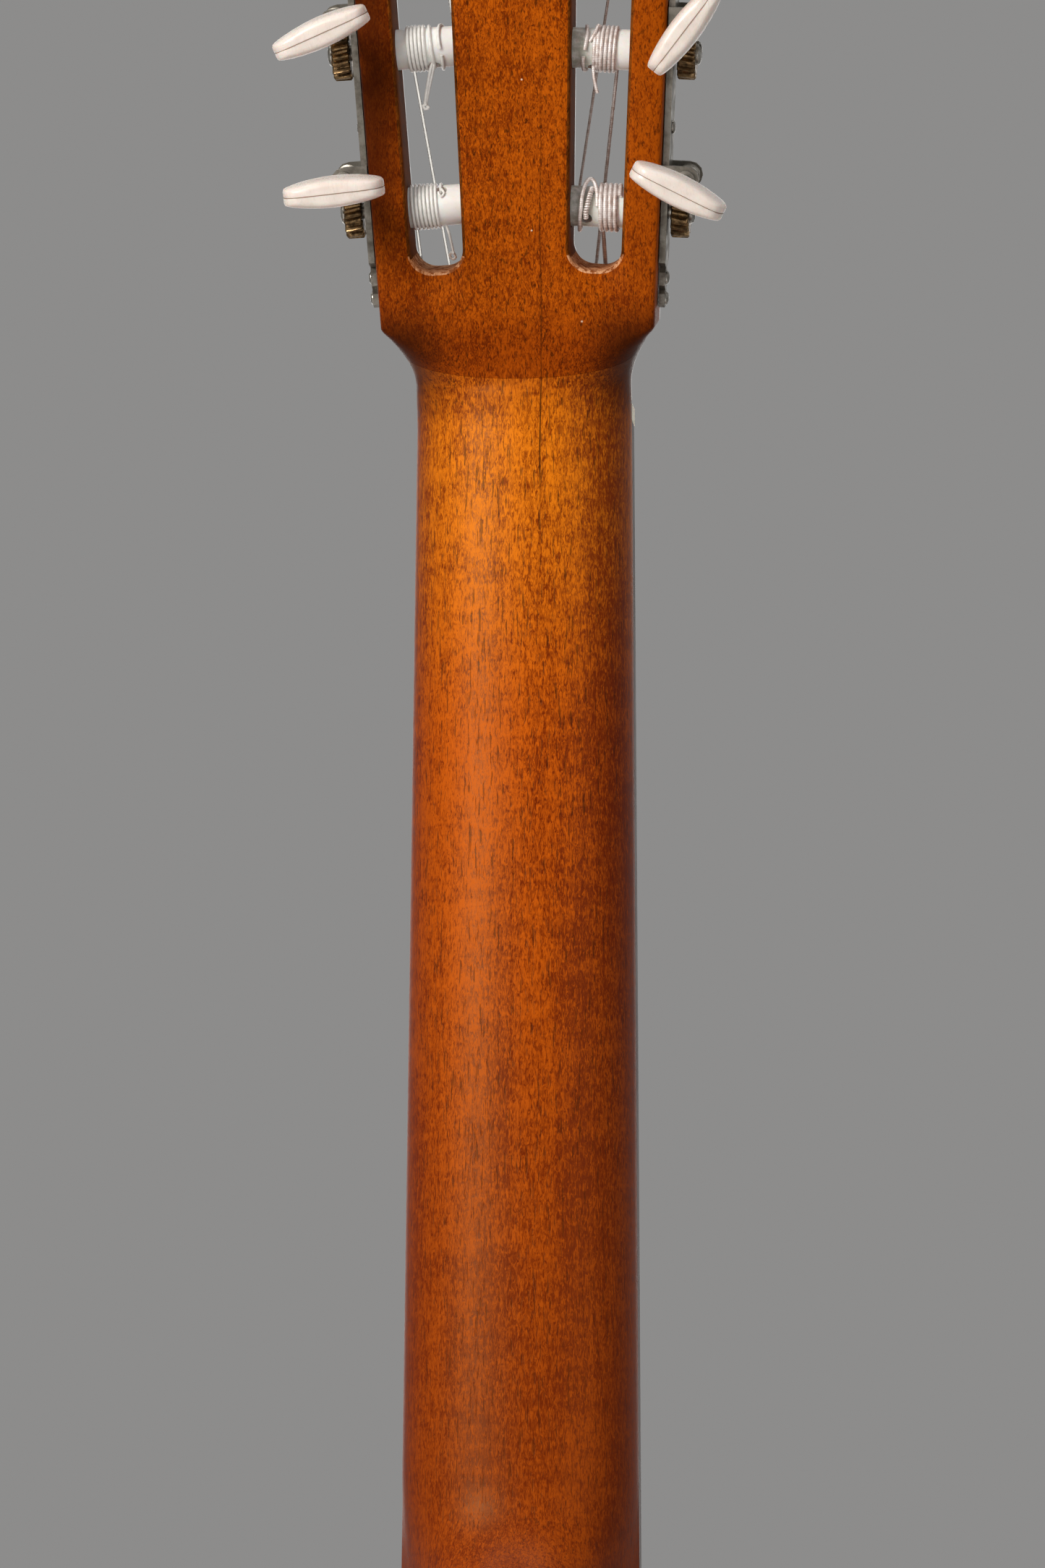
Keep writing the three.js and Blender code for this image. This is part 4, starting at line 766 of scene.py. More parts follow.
def slot_cutters(flare):
    """Both slots, with edges rounded by flare, and both ramps."""
    cutters = []
    for side in (1, -1):
        outline = slot_outline(side)
        cutters.append(prism(outline, -CUT_PAST, HEAD_THICKNESS + CUT_PAST, head_point, flare=flare))
        cutters.append(ramp(side))
    return cutters


def crest_points():
    top = HEAD_LENGTH - CREST_HEIGHT
    half = side_half(top)
    shape = [(1, 0), (0.99, 0.14), (0.965, 0.30), (0.92, 0.46), (0.86, 0.58), (0.78, 0.645), (0.68, 0.645),
             (0.58, 0.62), (0.48, 0.63), (0.38, 0.70), (0.28, 0.80), (0.18, 0.90), (0.09, 0.97), (0, 1)]
    right = [(x * half, top + rise * CREST_HEIGHT) for x, rise in shape]
    return right + [(-u, w) for u, w in reversed(right[:-1])]


def crest_cutter():
    """All the wood above the head's top edge."""
    line = crest_points()
    outline = [(60, line[0][1])] + line + [(-60, line[0][1]), (-60, HEAD_LENGTH + 20), (60, HEAD_LENGTH + 20)]
    return prism(outline, -CUT_PAST, HEAD_THICKNESS + CUT_PAST, head_point)


def scarf_half(whole, name, keep_above):
    """One side of the glued scarf joint between the shaft and the head."""
    piece = whole.copy()
    piece.data = whole.data.copy()
    piece.name = name
    bpy.context.scene.collection.objects.link(piece)
    on_plane = Vector((0, (FRONT_Y + NECK_DEPTH_NUT) * MM, (NUT_Z + SCARF_RISE) * MM))
    normal = Vector((0, 1.1, 1)).normalized()
    bm = bmesh.new()
    bm.from_mesh(piece.data)
    geometry = bm.verts[:] + bm.edges[:] + bm.faces[:]
    bmesh.ops.bisect_plane(bm, geom=geometry,
                           plane_co=on_plane + normal * (SCARF_GAP if keep_above else -SCARF_GAP),
                           plane_no=normal, clear_inner=keep_above, clear_outer=not keep_above)
    edges = [e for e in bm.edges if e.is_boundary]
    bmesh.ops.holes_fill(bm, edges=edges)
    bm.to_mesh(piece.data)
    bm.free()
    finish_mesh(piece.data)
    return piece


def head_place(point):
    """A point of the frame in metres, as places across the head and along it."""
    y, z = point.y / MM - FRONT_Y, point.z / MM - HEAD_Z
    return point.x / MM, y * sin(TILT) + z * cos(TILT)


def line_slots(piece, shaded_wall_wood, raw_wood):
    """Walls inside the slots in a darker mahogany as painted shade, and worn raw wood over the lower end of
    each slot.
    """
    mesh = piece.data
    mesh.materials.append(shaded_wall_wood)
    mesh.materials.append(raw_wood)
    back = Vector((0, cos(TILT), -sin(TILT)))
    for polygon in mesh.polygons:
        u, w = head_place(polygon.center)
        side = 1 if u > 0 else -1
        inside = side_half(w) - side * u
        along = w - SHOULDER_W
        facing = abs(polygon.normal.dot(back))
        if facing > 0.985 or not (4 < along < SLOT_END + 2) or not (RAIL - 1.6 < inside < RAIL + SLOT_WIDTH
                                                                    + 8):
            continue
        at_end = along < SLOT_START + 4.4
        polygon.material_index = 2 if at_end else 1


def make_neck(wood, head_wood, shaded_wall_wood, raw_wood):
    heel = [BODY_LENGTH + GAP + (HEEL_LENGTH - GAP) * (k / 48) ** 1.15 for k in range(49)]
    shaft = [BODY_LENGTH + HEEL_LENGTH + k * (NUT_Z - 26 - BODY_LENGTH - HEEL_LENGTH) / 24
             for k in range(1, 25)]
    rings = [neck_ring(z) for z in heel + shaft] + head_rings()
    whole = mesh_piece("whole_neck", *loft(rings), wood, body=None)
    holes = [roller_hole(number) for number in range(6)]
    cut_with(whole, crest_cutter(), *slot_cutters(0.7), *holes)
    shaft_piece = scarf_half(whole, "neck_shaft_wood", False)
    head_piece = scarf_half(whole, "headstock_wood", True)
    head_piece.data.materials[0] = head_wood
    line_slots(head_piece, shaded_wall_wood, raw_wood)
    bpy.data.objects.remove(whole, do_unlink=True)
    for piece, node in ((shaft_piece, "neck_shaft"), (head_piece, "headstock")):
        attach(piece, "guitar")
        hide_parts(node)


def make_veneer(material):
    side = [(flare_half(w), w) for w in (0.6, 3, 6, 8, 10, 12, 14, 16, 18, 19.2, SHOULDER_W)]
    line = side + crest_points() + [(-u, w) for u, w in reversed(side)]
    piece = mesh_piece("head_veneer_wood", *prism(line, 0.0, VENEER, head_point), material)
    cut_with(piece, *slot_cutters(0.5))
    finish_mesh(piece.data)
    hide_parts("head_veneer")


# ------------------------------------------------------------------ tuners


def make_roller(number, material, metal_material):
    place = tuner_place(number)
    inner = -RAIL - SLOT_WIDTH - 6
    profile = [(inner, 0.01), (inner, ROLLER_RADIUS - 0.5), (inner + 0.5, ROLLER_RADIUS),
               (-9.0, ROLLER_RADIUS),
               (-1.0, ROLLER_RADIUS), (-0.6, ROLLER_RADIUS - 0.4), (-0.6, 0.01)]
    piece = mesh_piece(f"roller_sleeve_{number + 1}", *turned(profile, place, 64), material,
                       f"roller_{number + 1}_body")
    hole_out, angle = HOLE_PLACES[number]
    reach = Vector((0, sin(angle), cos(angle)))
    ends = [place(hole_out, *(reach.yz * r)) for r in (-7, 7)]
    cut_with(piece, tube(ends, HOLE_RADIUS, 20))
    finish_mesh(piece.data)
    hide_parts(f"roller_{number + 1}")
    axle_end = GEAR_MIDDLE + GEAR_WIDTH / 2 + 0.5
    axle = [(-1.2, 0.01), (-1.2, AXLE_RADIUS), (axle_end, AXLE_RADIUS), (axle_end, 0.01)]
    mesh_piece(f"roller_axle_{number + 1}", *turned(axle, place, 24), metal_material,
               f"roller_{number + 1}_body")


def gear_outline():
    """Rounded teeth in the gear's own plane."""
    outline = []
    pitch = tau / GEAR_TEETH
    for tooth in range(GEAR_TEETH):
        middle = (tooth + 0.5) * pitch
        for share, radius in [(-0.40, 5.05), (-0.25, 5.35), (-0.15, 6.2), (-0.09, 6.48), (0.09, 6.48),
                              (0.15, 6.2),
                              (0.25, 5.35), (0.40, 5.05)]:
            angle = middle + share * pitch
            outline.append((radius * sin(angle), radius * cos(angle)))
    return outline


def make_gear(number, material, screw_material):
    place = tuner_place(number)
    low, high = GEAR_MIDDLE - GEAR_WIDTH / 2, GEAR_MIDDLE + GEAR_WIDTH / 2
    twist = tan(radians(9.55)) / GEAR_PITCH_RADIUS
    rings = []
    for out, shrink in [(low, 0.93), (low + 0.35, 1.0), (lerp(low, high, 0.33), 1.0),
                        (lerp(low, high, 0.66), 1.0),
                        (high - 0.35, 1.0), (high, 0.93)]:
        angle = -twist * (out - WORM_OUT)
        ring = []
        for back, along in gear_outline():
            b, a = back * shrink, along * shrink
            ring.append(place(out, b * cos(angle) - a * sin(angle), b * sin(angle) + a * cos(angle)))
        rings.append(ring)
    gear = mesh_piece(f"gear_teeth_{number + 1}", *loft(rings), material, f"roller_{number + 1}_body",
                      smooth=28)
    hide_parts(f"gear_{number + 1}")
    top = high + 0.02
    head = [(top, 0.01), (top, 2.9), (top + 0.45, 2.9), (top + 0.9, 2.45), (top + 1.15, 1.6),
            (top + 1.2, 0.01)]
    screw = mesh_piece(f"gear_screw_{number + 1}", *turned(head, place, 32), screw_material,
                       f"roller_{number + 1}_body")
    turn = 0.5 + 0.9 * number
    across = Vector((0, cos(turn), sin(turn)))
    side = Vector((0, -sin(turn), cos(turn)))
    corners = [across * a * 4 + side * b * 0.35 for a, b in ((-1, -1), (1, -1), (1, 1), (-1, 1))]
    slot = [[place(out, c.y, c.z) for c in corners] for out in (top + 0.55, top + 2)]
    cut_with(screw, loft(slot))
    finish_mesh(screw.data)


def make_worm(number, material):
    place = tuner_place(number)
    body = f"button_{number + 1}_body"

    def round_worm(axial, a, b):
        return place(WORM_OUT + a, axial, WORM_OFFSET + b)

    shaft = [(-8.6, 0.01), (-8.6, 1.1), (-8.3, 1.5), (-5.6, 1.5), (5.6, 1.5), (7.6, 1.5), (7.65, 2.3),
             (9.4, 2.3),
             (9.5, 1.5), (BUTTON_BEHIND + 9, 1.5), (BUTTON_BEHIND + 9, 0.01)]
    points, faces = turned(shaft, round_worm, 32)
    pitch = tau * GEAR_PITCH_RADIUS / GEAR_TEETH
    rings = []
    steps_per_turn, turns = 32, 4
    total = steps_per_turn * turns
    for k in range(total + 1):
        turn = (k - total / 2) / steps_per_turn
        angle = turn * tau
        fade = min(1.0, min(k, total - k) / 10)
        tip = lerp(1.6, 2.85, fade)
        ring = []
        for radius, along in [(1.3, -0.55), (lerp(1.3, tip, 0.8), -0.26), (tip, -0.12), (tip, 0.12),
                              (lerp(1.3, tip, 0.8), 0.26), (1.3, 0.55)]:
            ring.append(place(WORM_OUT + radius * sin(angle), along + turn * pitch,
                              WORM_OFFSET - radius * cos(angle)))
        rings.append(ring)
    piece = mesh_piece(f"worm_thread_{number + 1}", *joined((points, faces), loft(rings)), material, body)
    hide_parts(f"worm_{number + 1}")


BUTTON_SECTIONS = [
    (0.0, 0.19, 0.5), (0.02, 0.23, 0.62), (0.08, 0.25, 0.64), (0.16, 0.3, 0.66), (0.26, 0.54, 0.76),
    (0.38, 0.82, 0.9), (0.52, 0.965, 0.99), (0.66, 1.0, 1.0), (0.78, 0.985, 0.97), (0.88, 0.93, 0.92),
    (0.94, 0.86, 0.85), (0.975, 0.77, 0.76), (0.992, 0.68, 0.66), (1.0, 0.5, 0.5),
]
BUTTON_QUARTER = [
    (0.99, 0.0), (0.992, 0.025), (1.0, 0.05), (1.0, 0.3), (0.995, 0.44), (0.975, 0.535), (0.93, 0.605),
    (0.84, 0.69),
    (0.7, 0.79), (0.5, 0.89), (0.25, 0.97),
]


def make_button(number, material, seam_material):
    """A lens-shaped key with blunt ends and a fine seam round its edge."""
    place = tuner_place(number)
    turn = radians(BUTTON_ANGLES[number])
    side = TUNERS[number][0]
    body = f"button_{number + 1}_body"

    def at(px, pz, share):
        a = px * cos(turn) - pz * sin(turn)
        b = px * sin(turn) + pz * cos(turn)
        return place(WORM_OUT + side * a, BUTTON_BEHIND + share * BUTTON_LENGTH, WORM_OFFSET + b)

    upper = BUTTON_QUARTER + [(0.0, 1.0)] + [(-x, z) for x, z in reversed(BUTTON_QUARTER)]
    outline = upper + [(x, -z) for x, z in reversed(upper[1:-1])]
    rings = [[at(x * wide * BUTTON_HALF, z * thick * 3.75, share) for x, z in outline]
             for share, wide, thick in BUTTON_SECTIONS]
    piece = mesh_piece(f"button_key_{number + 1}", *loft(rings), material, body, smooth=50)
    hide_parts(f"button_{number + 1}")
    seam = []
    for share, wide, _ in BUTTON_SECTIONS[4:]:
        uneven = 0.10 + 0.05 * sin(9 * share + 2.4 * number)
        half = wide * BUTTON_HALF * 0.99 + uneven
        end = share + (0.008 if share > 0.99 else 0.0)
        seam.append([at(x, z, end) for x, z in ((-half, -0.07), (half, -0.07), (half, 0.07), (-half, 0.07))])
    mesh_piece(f"button_seam_{number + 1}", *loft(seam), seam_material, body)


# Each roller's string hole: place along the roller, and its angle from the tip side to the back.
HOLE_PLACES = [(-16.7, 0.62), (-17.6, 2.6), (-13.0, 1.2), (-17.5, 0.8), (-17.6, 2.7), (-17.8, 2.13)]
HOLE_RADIUS = 1.45

# Each winding: where it starts, its turns and the way it runs along the roller.
WINDINGS = [(-9.2, 6.2, -1), (-11.2, 4.6, -1), (-19.9, 4.2, 1), (-12.3, 4.2, -1), (-12.1, 4.3, -1),
            (-15.0, 4.4, 1)]
TURN_GAPS = [1.36, 1.16, 1.1, 1.1, 1.17, 1.07]


def winding_route(number):
    """The turns round the roller, the crossing to the hole, and the loose end."""
    place = tuner_place(number)
    start, turns, way = WINDINGS[number]
    radius = ROLLER_RADIUS + DIAMETERS[number] / 2
    pitch = DIAMETERS[number] * TURN_GAPS[number]
    hole_out, hole_angle = HOLE_PLACES[number]
    points = []
    count = int(turns * 30)
    for k in range(count + 1):
        angle = tau * k / 30
        out = start + way * pitch * angle / tau
        points.append(place(out, -radius * cos(angle), radius * sin(angle)))
    if number == 5:
        return points
    last_out = start + way * pitch * turns
    last_angle = tau * turns
    target = tau * (int(turns) + 1) + pi / 2 + hole_angle
    lift = radius + (0.9 * DIAMETERS[number] if way > 0 else 0.0)
    for k in range(1, 17):
        share = k / 16
        angle = lerp(last_angle, target, share)
        out = lerp(last_out, hole_out, share ** 1.3)
        r = lerp(radius, lift, sin(pi * min(1.0, share * 1.2))) if share < 0.83 else radius
        points.append(place(out, -r * cos(angle), r * sin(angle)))
    down = [place(hole_out, -r * cos(target), r * sin(target))
            for r in (ROLLER_RADIUS - 1.2, ROLLER_RADIUS - 3)]
    return points + down


# The free ends and loops about each roller, as (out, back, along) points.
FREE_ENDS = [
    [[(-17.0, 1.5, -4.4), (-17.7, 2.3, -6.2), (-18.2, 2.5, -9.0), (-18.5, 2.2, -11.3), (-18.9, 1.8, -12.5),
      (-18.2, 1.4, -13.0), (-17.5, 1.6, -12.2), (-17.9, 2.2, -11.3), (-18.7, 2.5, -11.6)],
     [(-16.9, 3.0, 3.2), (-16.2, 4.3, 3.6), (-16.8, 4.6, 2.6), (-17.5, 4.0, 3.3), (-16.9, 3.0, 4.2)]],
    [[(-17.6, 3.2, -3.4), (-17.3, 4.2, -4.8), (-16.2, 4.6, -8.5), (-14.95, 4.2, -13.0), (-15.5, 4.2, -13.9),
      (-14.6, 4.4, -14.3), (-14.2, 4.3, -13.4), (-15.2, 4.6, -13.1)],
     [(-17.2, 3.4, -3.4), (-16.7, 4.6, -4.8), (-15.7, 4.9, -8.5), (-14.6, 4.4, -13.2)]],
    [[(-13.0, -1.5, -5.0), (-12.6, -2.0, -7.4), (-11.8, -2.2, -9.5)]],
    [[(-17.5, -3.0, -4.0), (-17.0, -3.4, -6.5), (-16.2, -3.6, -9.0)]],
    [[(-17.6, 3.4, -3.6), (-17.4, 3.6, -6.0), (-16.9, 3.7, -8.4), (-16.3, 3.6, -10.4)],
     [(-18.6, 4.6, 2.0), (-17.8, 4.5, 3.4), (-17.2, 3.6, 4.8), (-16.7, 2.4, 5.9)]],
    [[(-19.3, -4.0, -3.9), (-19.5, -1.5, -5.6), (-19.4, 2.2, -5.4), (-19.3, 4.6, -3.0), (-19.1, 5.5, 0.0),
      (-18.9, 5.0, 3.2), (-18.4, 3.6, 5.6), (-17.5, 2.6, 6.9), (-16.6, 2.4, 6.6), (-15.8, 3.2, 5.2),
      (-15.3, 4.6, 3.2), (-15.2, 5.4, 0.6)]],
]
# Full turns lying apart from the rest, by roller number: where each lies along its roller.
LONE_TURNS = {1: -19.4, 4: -19.7}
# The middle line of string 6's coiled end, as (out, back, along) points.
COIL = [(-16.7, 3.2, 4.9), (-17.0, 4.7, 3.5), (-17.4, 5.6, 1.5), (-17.8, 5.6, -0.8), (-17.8, 4.6, -2.4)]


def coiled(route, coil_radius, pitch):
    """A helix wound about a route."""
    line = rounded_route(route, 0.08)
    points, run = [], 0.0
    for k in range(1, len(line)):
        here, step = Vector(line[k]), Vector(line[k]) - Vector(line[k - 1])
        run += step.length
        along = step.normalized()
        across = along.cross(Vector((1, 0, 0))).normalized()
        other = along.cross(across)
        angle = tau * run / pitch
        points.append(tuple(here + (across * cos(angle) + other * sin(angle)) * coil_radius))
    return points


def make_windings(number, material):
    body = f"roller_{number + 1}_body"
    radius = DIAMETERS[number] / 2
    place = tuner_place(number)
    shapes = [tube(winding_route(number), radius, 10)]
    for route in FREE_ENDS[number]:
        shapes.append(tube(rounded_route([place(*point) for point in route], 0.4), radius * 0.92, 10))
    if number in LONE_TURNS:
        far = ROLLER_RADIUS + radius
        ring = [place(LONE_TURNS[number] + 0.35 * sin(2 * tau * k / 60), far * cos(tau * k / 60),
                      far * sin(tau * k / 60))
                for k in range(58)]
        shapes.append(tube(ring, radius, 10))
    if number == 5:
        shapes.append(tube(coiled([place(*point) for point in COIL], 0.42, 0.62), 0.27, 8))
    mesh_piece(f"string_winding_{number + 1}", *joined(*shapes), material, body, smooth=60)


def string_x(number, spread):
    return spread * (0.5 - number / 5)


def make_string(number, material):
    radius = DIAMETERS[number] / 2
    place = tuner_place(number)
    bridge_x, nut_x = string_x(number, SPREAD_BRIDGE), string_x(number, SPREAD_NUT)
    tie = SADDLE_Z - 19
    start = WINDINGS[number][0]
    touch = place(start, -ROLLER_RADIUS - radius - 0.03, 0)
    nut_back = (nut_x, FRONT_Y - RISE_NUT, HEAD_Z + 0.3)
    route = [(bridge_x, FRONT_Y - RISE_TIE, tie + 0.5), (bridge_x, FRONT_Y - RISE_TIE, tie + 10.2)]
    route += [(bridge_x, FRONT_Y - RISE_SADDLE, SADDLE_Z - 1),
              (bridge_x, FRONT_Y - RISE_SADDLE, SADDLE_Z + 1)]
    route += [(nut_x, FRONT_Y - RISE_NUT, NUT_Z), nut_back, touch]
    piece = mesh_piece(f"string_line_{number + 1}", *tube(route, radius, 12), material, smooth=60)
    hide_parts(f"string_{number + 1}")
    top = FRONT_Y - GAP - 8.6 - radius - 0.05
    loop = [(bridge_x, FRONT_Y - RISE_TIE, tie + 0.6), (bridge_x + 0.3, FRONT_Y - RISE_TIE, tie - 0.9),
            (bridge_x + 0.9, lerp(FRONT_Y - RISE_TIE, top, 0.6), tie - 1.2), (bridge_x + 1.3, top, tie + 0.4),
            (bridge_x + 1.3, top, tie + 9.5), (bridge_x + 1.2, top + 1.4, tie + 10.9),
            (bridge_x - 0.5, FRONT_Y - RISE_TIE - 1.2, tie + 11.2), (bridge_x - 1.5, top + 1.4, tie + 10.6),
            (bridge_x - 1.6, top, tie + 9.0), (bridge_x - 1.5, top - 0.1, tie + 5),
            (bridge_x - 2.6, top - 0.5, tie + 3)]
    mesh_piece(f"string_tie_{number + 1}", *tube(rounded_route(loop, 0.6), radius, 10), material, smooth=60)


def make_plate_screws(material):
    """Round-headed screws in each side plate: two at each end and one in each gap between tuners."""
    for number, label in ((0, "treble"), (5, "bass")):
        place = tuner_place(number)
        ends = (-PLATE_END + 2.1, -PLATE_END + 7.1, 2 * TUNER_SPACING + PLATE_END - 7.1,
                2 * TUNER_SPACING + PLATE_END - 2.1)
        for k, along in enumerate(ends + (TUNER_SPACING * 0.5 + 1, TUNER_SPACING * 1.5 + 1)):
            face = PLATE_FACE + 0.02
            head = [(face, 0.01), (face, 1.7), (face + 0.3, 1.65), (face + 0.65, 1.2), (face + 0.8, 0.5),
                    (face + 0.82, 0.01)]

            def at(out, a, b, shift=along):
                return place(out, a, b + shift)

            mesh_piece(f"plate_screw_{label}_{k + 1}", *turned(head, at, 24), material)


# ------------------------------------------------------------------ body


def outline_points(count=150):
    """The treble half of the body's outline, with inward normals: centripetal Catmull-Rom."""
    controls = [
        (12, 0), (0.36 * LOWER_HALF, 0.045 * LOWER_Z), (0.66 * LOWER_HALF, 0.2 * LOWER_Z),
        (0.9 * LOWER_HALF, 0.53 * LOWER_Z), (LOWER_HALF, LOWER_Z),
        (lerp(WAIST_HALF, LOWER_HALF, 0.88), lerp(LOWER_Z, WAIST_Z, 0.35)),
        (lerp(WAIST_HALF, LOWER_HALF, 0.4), lerp(LOWER_Z, WAIST_Z, 0.66)), (WAIST_HALF, WAIST_Z),
        (lerp(WAIST_HALF, UPPER_HALF, 0.35), lerp(WAIST_Z, UPPER_Z, 0.4)),
        (lerp(WAIST_HALF, UPPER_HALF, 0.82), lerp(WAIST_Z, UPPER_Z, 0.7)), (UPPER_HALF, UPPER_Z),
        (0.95 * UPPER_HALF, lerp(UPPER_Z, BODY_LENGTH, 0.4)),
        (0.78 * UPPER_HALF, lerp(UPPER_Z, BODY_LENGTH, 0.74)),
        (0.52 * UPPER_HALF, lerp(UPPER_Z, BODY_LENGTH, 0.93)), (34, BODY_LENGTH),
    ]
    p = [np.array(c, float) for c in controls]
    p = [2 * p[0] - p[1]] + p + [2 * p[-1] - p[-2]]
    dense = []
    for i in range(1, len(p) - 2):
        dense += curve_between(*p[i - 1:i + 3], np.linalg.norm, 40)
    dense.append(p[-2])
    dense = np.array(dense)
    length = np.concatenate([[0], np.cumsum(np.linalg.norm(np.diff(dense, axis=0), axis=1))])
    even = np.linspace(0, length[-1], count)
    points = np.stack([np.interp(even, length, dense[:, i]) for i in (0, 1)], axis=1)
    along = np.gradient(points, axis=0)
    along /= np.linalg.norm(along, axis=1)[:, None]
    inward = np.stack([-along[:, 1], along[:, 0]], axis=1)
    inward[0], inward[-1] = (0, 1), (0, -1)
    return points, inward


OUTLINE, INWARD = outline_points()


def half_outline(inset, centre_x=0.0):
    moved = OUTLINE + INWARD * inset
    return [(centre_x, inset)] + [tuple(q) for q in moved] + [(centre_x, BODY_LENGTH - inset)]


def whole_outline(inset):
    half = half_outline(inset)
    return half + [(-x, z) for x, z in reversed(half[1:-1])]


def back_y(x, z):
    edge = lerp(DEPTH_TAIL, DEPTH_NECK, z / BODY_LENGTH) + FRONT_Y
    return edge + BACK_ARCH * (1 - (x / LOWER_HALF) ** 2)


def in_xz(x, z, y):
    return (x, y, z)


def make_soundboard(material):
    edge = whole_outline(BINDING_WIDTH + 0.05)
    piece = mesh_piece("soundboard_plate", *prism(edge, FRONT_Y, FRONT_Y + TOP_THICKNESS, in_xz), material)
    hole = [(SOUNDHOLE_RADIUS * cos(tau * k / 128), SOUNDHOLE_Z + SOUNDHOLE_RADIUS * sin(tau * k / 128))
            for k in range(128)]
    cut_with(piece, prism(hole, FRONT_Y - 3, FRONT_Y + 6, in_xz))
    finish_mesh(piece.data)
    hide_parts("soundboard")


def ring_band(inner, outer, front, back, name, material, **finish):
    rings = []
    for k in range(160):
        c, s = cos(tau * k / 160), sin(tau * k / 160)
        rings.append([(r * c, y, SOUNDHOLE_Z + r * s) for r,
                      y in ((inner, back), (inner, front), (outer, front), (outer, back))])
    return mesh_piece(name, *loft(rings, looped=True), material, **finish)


def make_back(material):
    columns = [k / 10 for k in range(-10, 11)]
    rings = []
    for x, z in half_outline(BINDING_WIDTH + 0.05)[1:-1]:
        outer = [(c * x, back_y(c * x, z), z) for c in columns]
        inner = [(c * x, back_y(c * x, z) - BACK_THICKNESS, z) for c in reversed(columns)]
        rings.append(outer + inner)
    piece = mesh_piece("back_panel", *loft(rings), material)
    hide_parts("back_plate")


def make_ribs(material):
    for side, label in ((1, "treble"), (-1, "bass")):
        outer, inner = half_outline(0), half_outline(RIB)
        rings = []
        for i, ((x, z), (xi, zi)) in enumerate(zip(outer, inner)):
            if i == 0:
                x = xi = 9.05
            if i == len(outer) - 1:
                x = xi = 0.05
            back = back_y(x, z) - BINDING_HEIGHT - 0.05
            front = FRONT_Y + BINDING_HEIGHT + 0.05
            rings.append([(side * x, front, z), (side * x, back, z), (side * xi, back, zi),
                          (side * xi, front, zi)])
        piece = mesh_piece(f"side_{label}", *loft(rings), material)
        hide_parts(f"rib_{label}")


def outline_band(name, outset, inset, y_out, y_in, material):
    outer, inner = whole_outline(outset), whole_outline(inset)
    rings = []
    for (x, z), (xi, zi) in zip(outer, inner):
        rings.append([(x, y_out(x, z), z), (x, y_in(x, z), z), (xi, y_in(x, z), zi), (xi, y_out(x, z), zi)])
    return mesh_piece(name, *loft(rings, looped=True), material)


def make_bindings(dark, light):
    def flat(offset):
        return lambda x, z: FRONT_Y + offset

    def arched(offset):
        return lambda x, z: back_y(x, z) - offset

    top = outline_band("top_binding_wood", 0, BINDING_WIDTH, flat(0), flat(BINDING_HEIGHT), dark)
    back = outline_band("back_binding_wood", 0, BINDING_WIDTH, arched(0), arched(BINDING_HEIGHT), dark)
    for piece, node in ((top, "top_binding"), (back, "back_binding")):
        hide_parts(node)
    outline_band("top_purfling", BINDING_WIDTH + 0.05, BINDING_WIDTH + 0.9, flat(-0.03), flat(0.6), light)
    outline_band("top_purfling_inner", BINDING_WIDTH + 1.6, BINDING_WIDTH + 2.2, flat(-0.03), flat(0.6), dark)
    outline_band("back_purfling", BINDING_WIDTH + 0.05, BINDING_WIDTH + 0.9, arched(-0.03), arched(0.6),
                 light)


def make_linings(material):
    """Kerfed strips that glue the plates to the ribs: small wedges in a row."""
    for label, at_back in (("top", False), ("back", True)):
        points, faces = [], []
        for side in (1, -1):
            for i in range(6, len(OUTLINE) - 6, 2):
                ring = []
                for j in (i, i + 1):
                    for inset, rise in ((RIB + 0.1, 0.2), (RIB + 6, 0.2), (RIB + 6, 4), (RIB + 0.1, 13)):
                        x, z = OUTLINE[j] + INWARD[j] * inset
                        if j == i + 1:
                            x, z = lerp(OUTLINE[i], OUTLINE[j], 0.7) + INWARD[j] * inset
                        y = FRONT_Y + TOP_THICKNESS + rise
                        if at_back:
                            y = back_y(x, z) - BACK_THICKNESS - rise
                        ring.append((side * x, y, z))
                block = loft([ring[:4], ring[4:]])
                points, faces = joined((points, faces), block)
        mesh_piece(f"{label}_lining", points, faces, material, smooth=20)


def make_back_details(light, wood, paper):
    rings = []
    for k in range(60):
        z = lerp(BINDING_WIDTH + 0.2, BODY_LENGTH - BINDING_WIDTH - 0.2, k / 59)
        rings.append([(x, back_y(x, z) + y, z) for x,
                      y in ((-2.5, -0.4), (-2.5, 0.04), (2.5, 0.04), (2.5, -0.4))])
    mesh_piece("back_centre_strip", *loft(rings), light)
    rings = []
    for k in range(24):
        z = lerp(110, 226, k / 23)
        rings.append([(x, back_y(x, z) - BACK_THICKNESS - y, z) for x,
                      y in ((-9, 0.02), (-6, 2.0), (6, 2.0), (9, 0.02))])
    mesh_piece("back_cleat", *loft(rings), wood)
    y = back_y(0, 330) - BACK_THICKNESS - 0.35
    sheet = [(-32, y, 300), (32, y, 300), (32, y, 350), (-32, y, 350)]
    rings = [sheet, [(x, yy - 0.2, z) for x, yy, z in sheet]]
    mesh_piece("blank_label", *loft(rings), paper)
    patch = [(x, FRONT_Y + TOP_THICKNESS + rise, z) for rise in (0.05, 2.2) for x,
             z in ((-95, 152), (95, 152), (95, 178), (-95, 178))]
    mesh_piece("bridge_patch", *loft([patch[:4], patch[4:]]), wood)


